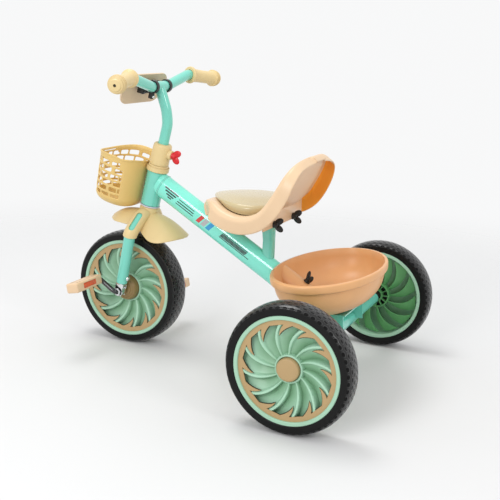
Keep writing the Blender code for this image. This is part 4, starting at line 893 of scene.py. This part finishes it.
def build_fork():
    for side, tag in ((-1, "left"), (1, "right")):
        leg = bent_tube(f"fork_leg_{tag}_tube", fork_path(side), LEG_R, 10)
        fit(settle(leg, HEAD), "fork", "mint_paint", f"fork_leg_{tag}")
        path = fork_path(side)
        upper = [p for p in path if p.z > 0.126]
        share = (upper[-1].z - 0.126) / (upper[-1].z - 0.020)
        upper.append(upper[-1].lerp(path[-1], share))
        sleeve = bent_tube(f"fork_sleeve_{tag}", upper, 0.0145, 10)
        round_edges(sleeve, 0.0012, 2, 60)
        slot = slab("slot", (0.030, 0.0118, 0.043), 0.0056, 5)
        lean = math.atan2(0.031, 0.036)
        settle(slot, moved((side * 0.0490, -0.0025, 0.1580)) @ turned(-lean * side, "Y"))
        carve(sleeve, slot)
        carve(sleeve, bent_tube("bore", [p + Vector((0, 0, 0.0001)) for p in path], 0.0119, 10))
        fit(settle(tidy(sleeve, 40), HEAD), "fork", "cream_plastic")
        strap = lathe("strap", [(0.0056, 0.008), (0.0098, 0.008), (0.0106, 0.0070), (0.0106, -0.0070),
                                (0.0098, -0.008), (0.0056, -0.008), (0.0056, 0.008)], 48)
        settle(strap, moved((side * LEG_END_X, 0, 0)) @ turned(TURN / 4, "Y"))
        cheeks = [settle(slab("cheek", (0.0024, 0.0185, 0.0270), 0.0008, 2),
                         moved((side * LEG_END_X + lean_out * 0.0068, 0, 0.0050)))
                  for lean_out in (-1, 1)]
        seat = settle(slab("seat", (0.0150, 0.0185, 0.0045), 0.0010, 2), moved((side * LEG_END_X, 0, 0.0164)))
        nut = lathe("nut",
                    [(0.0056, 0.0), (0.0082, 0.0), (0.0082, 0.0042), (0.0070, 0.0052), (0.0056, 0.0052),
                     (0.0056, 0.0)], 6, 20)
        settle(nut, moved((side * 0.0550, 0, 0)) @ turned(side * TURN / 4, "Y"))
        bracket = merge(f"axle_bracket_{tag}_strap", strap, *cheeks, seat, nut)
        fit(settle(bracket, HEAD), "fork", "chrome", f"axle_bracket_{tag}")
        bolt = lathe(f"bracket_bolt_{tag}_head",
                     [(0, 0.0042), (0.0022, 0.0040), (0.0042, 0.0030), (0.0055, 0.0012),
                      (0.0056, 0.0), (0, 0.0)], 40, 60)
        back = moved((side * LEG_END_X, -0.0117, 0.032)) @ turned(TURN / 4, "X")
        fit(settle(bolt, HEAD @ back), "fork", "chrome", f"bracket_bolt_{tag}")
    neck = lathe("crown_cover_neck", [(0.0146, 0.1842), (0.0178, 0.1842), (0.0188, 0.1832), (0.0193, 0.1760),
                                      (0.0204, 0.1660), (0.0228, 0.1560), (0.0250, 0.1500), (0.0146, 0.1500),
                                      (0.0146, 0.1842)], 72, 50)
    fit(settle(neck, HEAD), "fork", "cream_plastic", "crown_cover")
    fender = sheet_of("crown_cover_fender", 28, 36, fender_shape)
    modify(fender, "SOLIDIFY", thickness=0.0025, offset=-1)
    tidy(fender, 60)
    soften(fender)
    fit(settle(fender, HEAD), "fork", "cream_plastic")


FENDER = [
    (-0.097, 0.1490, 0.1475, 0.12), (-0.086, 0.1550, 0.1440, 0.66), (-0.062, 0.1660, 0.1330, 0.98),
    (-0.036, 0.1730, 0.1290, 0.92), (0.000, 0.1740, 0.1400, 0.66), (0.030, 0.1680, 0.1400, 0.74),
    (0.056, 0.1580, 0.1360, 0.66), (0.076, 0.1400, 0.1320, 0.24),
]


def along_stations(stations, t):
    """Smooth value at t through evenly spaced stations."""
    span = (len(stations) - 1) * max(0.0, min(1.0, t))
    i = min(int(span), len(stations) - 2)
    f = span - i
    before, here, there, after = (stations[max(0, min(len(stations) - 1, i + k))] for k in (-1, 0, 1, 2))
    return [0.5 * (2 * b + (c - a) * f + (2 * a - 5 * b + 4 * c - d) * f * f
                   + (3 * b - a - 3 * c + d) * f ** 3)
            for a, b, c, d in zip(before, here, there, after)]


def fender_shape(u, v):
    y, middle, edge, share = along_stations(FENDER, v)
    across = u * 2 - 1
    z = edge + (middle - edge) * (1 - abs(across) ** 2.2)
    return Vector((across * share * 0.052, y, z))


def build_crank():
    lean = math.radians(32)
    throw = Vector((0, math.cos(lean), math.sin(lean))) * 0.048
    pin = 0.143
    arm = 0.064
    corners = [Vector((-pin, 0, 0)) + throw, Vector((-arm, 0, 0)) + throw, Vector((-arm, 0, 0)),
               Vector((arm, 0, 0)), Vector((arm, 0, 0)) - throw, Vector((pin, 0, 0)) - throw]
    rod = bent_tube("crank_axle_rod", easy_bends(corners, 0.009), CRANK_R, 8)
    fit(settle(rod, moved(FRONT_AXLE)), "front_wheel", "black_steel", "crank_axle")


def build_pedal(side, tag):
    low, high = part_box(f"pedal_{tag}")
    place = moved((low + high) / 2) @ turned(math.radians(-12), "X")
    block = slab(f"pedal_{tag}_block", (0.085, 0.028, 0.020), 0.0035, 4)
    for face in (-1, 1):
        pocket = slab("pocket", (0.0406, 0.0044, 0.0106), 0.0)
        carve(block, settle(pocket, moved((0, face * 0.014, 0))))
        groove = slab("groove", (0.074, 0.0026, 0.004), 0.0008, 2)
        for row in (-0.0072, 0.0072):
            cutter = copy_of(groove, "cut")
            carve(block, settle(cutter, moved((0, row, face * 0.010))))
        bpy.data.objects.remove(groove, do_unlink=True)
    for step in (-1, 0, 1):
        window = slab("window", (0.0075, 0.0075, 0.03), 0.0012, 2)
        carve(block, settle(window, moved((-side * 0.0320, step * 0.0088, 0))))
    fit(settle(tidy(block, 35), place), f"pedal_block_{tag}", "peach_plastic", f"pedal_{tag}")


# ------------------------------------------------------------ collar, basket

def build_collar():
    collar = lathe("steering_collar_cup", [
        (0.0114, 0.3188), (0.0140, 0.3188), (0.0165, 0.3180), (0.0182, 0.3160), (0.0190, 0.3120),
        (0.0194, 0.3040), (0.0199, 0.2820), (0.0200, 0.2762), (0.0195, 0.2752), (0.0145, 0.2752),
        (0.0145, 0.2815), (0.0114, 0.2815), (0.0114, 0.3188)], 72, 40)
    boss = lathe("boss", [(0.0, 0.0), (0.0100, 0.0), (0.0098, 0.0180), (0.0092, 0.0240), (0.0080, 0.0245),
                          (0.0, 0.0245)], 40)
    settle(boss, moved((0, -0.0010, 0.3010)) @ turned(TURN / 4, "X"))
    carve(boss, lathe("bore", [(0, 0.32), (0.0190, 0.32), (0.0190, 0.28), (0, 0.28)], 48))
    whole = merge("steering_collar_body", collar, boss)
    fit(settle(whole, HEAD), "fork", "cream_plastic", "steering_collar")
    turn = turned(TURN / 4, "X") @ turned(TURN / 4, "Z")
    knob = HEAD @ moved((0, -0.0248, 0.3010)) @ turn
    butterfly("clamp_knob_wing", knob, "red_plastic", "knob", "clamp_knob", (0.0140, 0.0060, 0.0190))


def basket_outline(angle, share, grow=0.0):
    """A point of the basket's outline, share of the way from its floor to its rim."""
    taper = 0.74 + 0.26 * share ** 0.6
    back = 0.024 + (1 - share) * 0.004
    half = BASKET_HALF * taper + grow
    length = BASKET_LONG * (0.94 + 0.06 * share)
    c = math.cos(angle)
    s = math.sin(angle)
    x = half * math.copysign(abs(c) ** (2 / 2.6), c) * (1 - 0.20 * max(0.0, s) ** 2)
    y = (length / 2 + grow) * math.copysign(abs(s) ** (2 / 2.6), s)
    return x, back + length / 2 + y


def basket_wave(x, y):
    """How far the rim rises and falls round its top."""
    forward = 1 if y > 0.0536 else 0.5
    return 0.009 * ((x / BASKET_HALF) ** 2 - 0.6) * forward + 0.004 * math.exp(-((y - 0.026) / 0.012) ** 2)


def basket_shape(u, v):
    """Bottom from v 0 to 0.15, then the wall up to the flared and waved rim."""
    angle = TURN * (u + 0.25)
    if v < 0.15:
        t = v / 0.15
        x, y = basket_outline(angle, 0.0, -0.011)
        shrink = 0.9 * t
        return Vector((x * shrink, BASKET_MIDDLE + (y - BASKET_MIDDLE) * shrink,
                       BASKET_FLOOR + 0.0015 * t ** 3))
    share = (v - 0.15) / 0.85
    round_in = -0.011 * (1 - min(1.0, share / 0.14)) ** 2.2
    flare = 0.0022 * ease((share - 0.955) / 0.045)
    x, y = basket_outline(angle, share, round_in + flare)
    wave = basket_wave(x, y) * ease((share - 0.5) / 0.5)
    return Vector((x, y, BASKET_FLOOR + BASKET_HIGH * share ** 0.96 + wave))


def build_basket():
    columns = 85
    rows = 53
    basket = sheet_of("basket_bucket", columns, rows, basket_shape, close_round=True)

    def is_hole(centre):
        x, y, z = centre
        if z < 0.189 or z > 0.266:
            return False
        angle = math.atan2(y - BASKET_MIDDLE, x)
        if math.sin(angle) < -0.42:
            return False
        lap = ((angle / TURN) % 1.0) * columns
        share = 0.5
        for _ in range(5):
            level = z - BASKET_FLOOR - basket_wave(x, y) * ease((share - 0.5) / 0.5)
            share = max(0.001, level / BASKET_HIGH) ** (1 / 0.96)
        row = int(share * 45) - 6
        return row % 6 < 4 and (int(lap) + 2 * (row // 6 % 2)) % 5 != 4

    pick_faces(basket, is_hole)
    bpy.ops.mesh.delete(type="FACE")
    leave()
    edit(basket)
    bpy.ops.mesh.select_all(action="SELECT")
    bpy.ops.mesh.normals_make_consistent(inside=False)
    leave()
    modify(basket, "SOLIDIFY", thickness=0.0024, offset=-1)
    soften(basket)
    bpy.ops.object.shade_smooth_by_angle(angle=math.radians(60))
    fit(settle(basket, HEAD), "fork", "yellow_plastic", "basket")


# ------------------------------------------------------------ handlebar

def build_handlebar():
    right = [Vector((0.030, BAR_REACH, BAR_HEIGHT)), Vector((0.1085, BAR_REACH + 0.002, BAR_HEIGHT + 0.020)),
             Vector((0.1925, BAR_REACH - 0.0215, BAR_HEIGHT + 0.016))]
    left = [Vector((-p.x, p.y, p.z)) for p in reversed(right)]
    bar = bent_tube("handlebar_bar_tube", easy_bends(left + right, 0.030), BAR_R, 10)
    fit(settle(bar, HEAD), "handlebar", "mint_paint", "handlebar_bar")
    stem = bent_tube("handlebar_stem_tube", easy_bends([(0, 0, 0.286), (0, 0, 0.3605), (0, 0.010, 0.3865),
                                                        (0, BAR_REACH, BAR_HEIGHT)], 0.060), STEM_R, 10)
    fit(settle(stem, HEAD), "handlebar", "mint_paint", "handlebar_stem")
    for side, tag in ((-1, "left"), (1, "right")):
        inner, outer = (left[1], left[0]) if side < 0 else (right[-2], right[-1])
        along = (outer - inner).normalized()
        length = (outer - inner).length
        ribs = []
        for i in range(4):
            z = length - 0.0125 + i * 0.0042
            top = (0.0176, 0.0174, 0.0164, 0.0142)[i]
            ribs += [(top - 0.0022, z - 0.0013), (top, z - 0.0006), (top, z + 0.0010),
                     (top - 0.0022, z + 0.0017)]
        profile = [(0.0111, 0.004), (0.0160, 0.004), (0.0173, 0.0050), (0.0177, 0.0070), (0.0172, 0.0094),
                   (0.0145, 0.0125), (0.0137, 0.018), (0.0130, length * 0.5), (0.0133, length - 0.022),
                   (0.0142, length - 0.0165)] + ribs + [(0.0105, length + 0.0046), (0.0030, length + 0.0054),
                                                        (0.0030, length + 0.0006), (0.0111, length + 0.0006),
                                                        (0.0111, 0.004)]
        grip = lathe(f"grip_{tag}_sleeve", profile, 64, 32)
        place = HEAD @ moved(inner) @ along.to_track_quat("Z", "Y").to_matrix().to_4x4()
        fit(settle(grip, place), "handlebar", "cream_plastic", f"grip_{tag}")
        # painted shade: a black disc set in the hole at the grip's end, standing in for the shade inside it
        plug = lathe(f"grip_{tag}_hole",
                     [(0, length + 0.0008), (0.0029, length + 0.0008), (0.0029, length + 0.0030),
                      (0, length + 0.0030)], 24)
        fit(settle(plug, place), "handlebar", "black_plastic")
        x = side * 0.0245
        band = lathe("band", [(0.0108, 0.0042), (0.0128, 0.0042), (0.0134, 0.0034), (0.0134, -0.0034),
                              (0.0128, -0.0042), (0.0108, -0.0042), (0.0108, 0.0042)], 56)
        settle(band, moved((x, BAR_REACH, BAR_HEIGHT)) @ turned(TURN / 4, "Y"))
        lug = settle(slab("lug", (0.0082, 0.0095, 0.0130), 0.0016, 3),
                     moved((x, BAR_REACH, BAR_HEIGHT - 0.0175)))
        ear = settle(slab("ear", (0.0082, 0.0115, 0.0070), 0.0014, 3),
                     moved((x, BAR_REACH + 0.0150, BAR_HEIGHT + 0.0020)))
        clamp = merge(f"bar_clamp_{tag}_band", band, lug, ear)
        fit(settle(clamp, HEAD), "handlebar", "black_plastic", f"bar_clamp_{tag}")
        screw = lathe(f"bar_clamp_{tag}_screw",
                      [(0, 0.0030), (0.0018, 0.0029), (0.0030, 0.0018), (0.0032, 0.0),
                       (0, 0.0)], 24, 60)
        down = moved((x, BAR_REACH - 0.0045, BAR_HEIGHT - 0.0190)) @ turned(TURN / 4, "X")
        fit(settle(screw, HEAD @ down), "handlebar", "chrome")
    build_panel()


def build_panel():
    middle = Vector((0, 0.070, 0.4125))
    face = HEAD @ moved(middle) @ turned(TURN / 4 + math.radians(14), "X")
    outline = [(0.045 + 0.033 * math.cos(a), 0.033 * math.sin(a)) for a in
               [math.radians(-90 + 180 * i / 20) for i in range(21)]]
    outline += [(-x, -y) for x, y in outline]
    plate = cut_plate("panel_plate_board", [outline], 0.0034)
    round_edges(plate, 0.0010, 3)
    fit(settle(plate, face), "handlebar", "plate_plastic", "panel_plate")
    for i, (x, y) in enumerate(((-0.055, 0.0), (0.055, 0.0), (-0.020, 0.018), (0.020, 0.018))):
        screw = lathe(f"panel_screw_{i + 1}", [(0, 0.0012), (0.0016, 0.0011), (0.0024, 0.0004), (0.0025, 0.0),
                                               (0, 0.0)], 20, 60)
        back = moved((x, y, -0.0017)) @ turned(TURN / 2, "X")
        fit(settle(screw, face @ back), "handlebar", "black_steel" if i < 2 else "chrome")
    start = BAR_REACH + 0.0136
    bridge = settle(slab("bridge", (0.076, 0.0120, 0.0085), 0.0018, 3),
                    moved((0, start + 0.0062, BAR_HEIGHT - 0.0060)))
    lower = settle(slab("lower", (0.062, 0.0105, 0.0060), 0.0014, 3),
                   moved((0, start + 0.0060, BAR_HEIGHT - 0.0150)))
    feet = [settle(slab("foot", (0.0100, 0.0140, 0.0200), 0.0014, 3),
                   moved((x, start + 0.0070, BAR_HEIGHT - 0.0090))) for x in (-0.031, 0, 0.031)]
    fit(settle(merge("panel_bracket_frame", bridge, lower, *feet), HEAD), "handlebar", "black_plastic",
        "panel_bracket")


# ------------------------------------------------------------ seat

SEAT_TOP = 0.325
SEAT_LONG = 0.140
SEAT_WIDE = 0.222
SEAT_BACK = 0.111
SEAT_LEAN = 0.085
SEAT_FRONT = REAR_AXLE.y + 0.268
SEAT_SKIRT = 0.031
SEAT_SIDE_LINE = [
    (0.06, 0.011), (-0.16, 0.017), (-0.40, 0.006), (-0.63, 0.0), (-0.84, 0.005),
]
SEAT_SHARES = [0.50, 0.72, 0.88, 0.95, 1.0, 1.02, 0.98, 0.94, 0.89, 0.80]


def seat_line(t):
    """Middle line of the seat's top from its front edge to the top of the back, as (y, z)."""
    knee = SEAT_FRONT - SEAT_LONG
    stations = [(SEAT_FRONT + share * SEAT_LONG, SEAT_TOP + rise) for share, rise in SEAT_SIDE_LINE]
    stations += [(knee - lean * SEAT_LEAN, SEAT_TOP + rise * SEAT_BACK) for lean, rise in
                 ((0.0, 0.18), (0.24, 0.46), (0.44, 0.75), (0.57, 0.92), (0.66, 1.0))]
    return Vector(along_stations(stations, t))


def seat_normal(t):
    along = (seat_line(min(t + 0.01, 1)) - seat_line(max(t - 0.01, 0))).normalized()
    return Vector((0, along.y, -along.x))


def seat_top(t, across, sink=0.0):
    """A point of the seat's top skin, pushed below it by sink."""
    middle = seat_line(t)
    half = along_stations([(s,) for s in SEAT_SHARES], t)[0] * SEAT_WIDE / 2
    half *= math.sqrt(1 - 0.96 * max(0.0, (t - 0.70) / 0.30) ** 2 - 0.5 * max(0.0, (0.11 - t) / 0.11) ** 2)
    return Vector((across * half, middle.x, middle.y)) - seat_normal(t) * sink


def seat_hollow(t, across):
    """How deep the seat is dished: full in its middle, nothing at its edges."""
    inside = ease((0.88 - abs(across)) / 0.34)
    ends = min(1.0, 4 * t, 6 * (1 - t))
    return (0.0085 * inside + 0.0016 * max(0.0, (abs(across) - 0.88) / 0.12) ** 2) * ends


def seat_shape(u, v):
    """The top skin with a rounded edge and a skirt all round it."""
    past_side = max(0.0, (0.13 - u) / 0.13, (u - 0.87) / 0.13)
    past_end = max(0.0, (0.08 - v) / 0.08, (v - 0.92) / 0.08)
    across = max(-1.0, min(1.0, (u - 0.13) / 0.74 * 2 - 1))
    t = max(0.0, min(1.0, (v - 0.08) / 0.84))
    point = seat_top(t, across, seat_hollow(t, across))
    hang = max(past_side, past_end)
    if hang == 0:
        return point
    drop = SEAT_SKIRT * hang ** 1.25 * (1 - 0.45 * ease((t - 0.62) / 0.38))
    out = Vector((math.copysign(0.0055 * ease(past_side / 0.35), across), 0, 0))
    if past_end > 0:
        ends = (seat_line(0) - seat_line(0.02)) if t == 0 else (seat_line(1) - seat_line(0.98))
        ends = ends.normalized() * 0.0055 * ease(past_end / 0.35)
        out += Vector((0, ends.x, ends.y))
    return point + out - seat_normal(t) * drop


def build_seat():
    shell = sheet_of("seat_shell_skin", 56, 64, seat_shape, close_round=True)
    face_up(shell)
    shell.data.materials.append(finishes["peach_plastic"].material)
    shell.data.materials.append(finishes["glow_amber"].material)
    modify(shell, "SOLIDIFY", thickness=0.0030, offset=-1, use_even_offset=False, use_rim=True)
    # painted light: inner faces of the +x skirt, rear half, take the deep amber, standing in for light
    # glowing through the plastic and bouncing inside the seat
    for face in shell.data.polygons:
        facing_in = (face.normal.x * face.center.x < 0 and abs(face.normal.x) > 0.55
                     and abs(face.center.x) > 0.04)
        face.material_index = 1 if facing_in and face.center.y < 0.0 and face.center.x > 0 else 0
    soften(shell)
    bpy.ops.object.shade_smooth_by_angle(angle=math.radians(60))
    fit(shell, "frame", "peach_plastic", "seat_shell")
    web = settle(slab("seat_web_rib", (0.186, 0.0030, 0.036), 0.0008, 2),
                 moved((0, REAR_AXLE.y + 0.1302, SEAT_TOP - 0.0075)))
    fit(web, "frame", "peach_plastic")
    pad = sheet_of("seat_pad_cushion", 64, 34, pad_shape, close_round=True)
    tidy(pad, 60)
    soften(pad)
    fit(pad, "frame", "pad_vinyl", "seat_pad")
    facing = turned(TURN / 4, "X") @ turned(TURN / 4, "Z")
    for side, tag in ((-1, "left"), (1, "right")):
        place = moved((side * 0.046, REAR_AXLE.y + 0.1284, 0.3055)) @ facing
        butterfly(f"seat_wing_screw_{tag}_wing", place, "black_plastic", "frame", f"seat_wing_screw_{tag}")


def pad_shape(u, v):
    """A crowned cushion: flat below, a tucked seam low on its side, then a full rounded top."""
    angle = TURN * u
    if v < 0.25:
        size, lift = 0.96 * v / 0.25, 0.0
    elif v < 0.55:
        turn = (v - 0.25) / 0.30
        size = 0.96 + 0.04 * math.sin(math.pi * min(1.0, turn * 1.25) / 2) - 0.06 * ease((turn - 0.55) / 0.45)
        lift = 0.80 * ease(turn)
        if 0.22 < turn < 0.34:
            size -= 0.012
    else:
        turn = (v - 0.55) / 0.45
        size = 0.94 * (1 - turn)
        lift = 0.80 + 0.20 * math.sin(math.pi / 2 * min(1.0, turn * 1.7))
    t = 0.295 - math.cos(angle) * 0.285 * size
    across = math.sin(angle) * 0.83 * size
    base = seat_top(t, across, seat_hollow(t, across) - 0.0012)
    top = SEAT_TOP + 0.0275 - 0.0050 * size ** 2
    return Vector((base.x, base.y, base.z + max(top - base.z, 0.004) * lift))


# ------------------------------------------------------------ bin

def bin_side(half, floor):
    """Profile of the bin's wall from below its rolled rim to the middle of its floor."""
    side = []
    for i in range(13):
        t = i / 12
        side.append((half * (1 - 0.12 * t - 0.42 * t ** 3), -0.0150 + (floor + 0.0150) * t ** 0.85))
    return side + [(0, floor)]


def build_bin():
    datum = moved((0, REAR_AXLE.y + 0.0278, 0.2299)) @ turned(BIN_TILT, "X")
    squash = Matrix.Diagonal((1, BIN_LONG / BIN_WIDE, 1, 1))
    half = BIN_WIDE / 2
    rolled = [(0, 0), (half - 0.0105, 0.0), (half - 0.0080, -0.0003), (half - 0.0030, -0.0005),
              (half - 0.0010, -0.0016), (half, -0.0040), (half, -0.0112), (half - 0.0008, -0.0134),
              (half - 0.0030, -0.0146), (half - 0.0075, -0.0150)]
    bowl = lathe("bin_bowl", rolled + bin_side(half - 0.0090, -0.078), 144, 40)
    hollow = lathe("hollow",
                   [(0, 0.012), (half - 0.0085, 0.012), (half - 0.0095, -0.0006), (half - 0.0118, -0.0040)]
                   + bin_side(half - 0.0122, -0.075), 144, 40)
    settle(bowl, datum @ squash)
    settle(hollow, datum @ squash)
    start = REAR_AXLE - TUBE_ALONG * 0.02
    past_bin = 0.4
    carve(hollow, oval_tube("hood", start, past_bin, 0.0228, 0.02755))
    carve(bowl, hollow)
    carve(bowl, oval_tube("channel", start, past_bin, 0.0193, 0.02405))
    tidy(bowl, 32)
    fit(bowl, "frame", "bin_plastic", "bin")
    rise = REAR_AXLE.z + TUBE_ALONG.z / TUBE_ALONG.y * 0.088
    outer = Vector((0, REAR_AXLE.y + 0.088, rise)) + TUBE_UP * (TUBE_HALF_Y + 0.0042)
    turn = turned(math.atan2(-TUBE_UP.y, TUBE_UP.z), "X")
    butterfly("bin_wing_screw_wing", moved(outer) @ turn @ turned(TURN / 8, "Z"),
              "black_plastic", "frame", "bin_wing_screw")
    for side in (-1, 1):
        lug = settle(slab(f"bin_lug_{'left' if side < 0 else 'right'}", (0.008, 0.016, 0.020), 0.002, 3),
                     moved((side * 0.085, REAR_AXLE.y + 0.004, 0.1445)))
        fit(lug, "frame", "bin_plastic")


# ------------------------------------------------------------ floor and assembly

def lay_floor():
    bpy.ops.object.select_all(action="DESELECT")
    bpy.ops.mesh.primitive_circle_add(vertices=128, radius=2.2, fill_type="NGON", location=(0, 0, 0))
    floor = named("studio_floor")
    paper = Finish("studio_paper", 0.9, Specular_IOR_Level=0.1)
    here = paper.place()
    x, y = paper.axes(here)[:2]
    paper.feed("Base Color",
               paper.mix(paper.noise(here, 3, 2), (0.71, 0.712, 0.714, 1), (0.72, 0.722, 0.724, 1)))
    paper.feed("Alpha", 1 - paper.between(0.75, 1.9, paper.math("SQRT", x * x + y * y)))
    floor.data.materials.append(paper.material)


def dress_bare_nodes():
    """Finishes for the CAD pieces that stay in view as they are."""
    slots = {item["node"]: item["material_slot"] for item in frame["record"]["subparts"]}
    for node, piece in frame["nodes"].items():
        slot = "rear_tyre" if slots[node] == "tyre_foam" else slots[node]
        for held in piece.material_slots:
            held.material = finishes[slot].material
        if not piece.material_slots:
            piece.data.materials.append(finishes[slot].material)


stand_camera()
light_studio()
lay_floor()
dress_bare_nodes()
build_frame_tubes()
build_seat()
build_bin()
build_fork()
build_crank()
build_collar()
build_basket()
build_handlebar()
front_wheel()
for side, tag in ((-1, "left"), (1, "right")):
    rear_wheel(side, tag)
    build_pedal(side, tag)
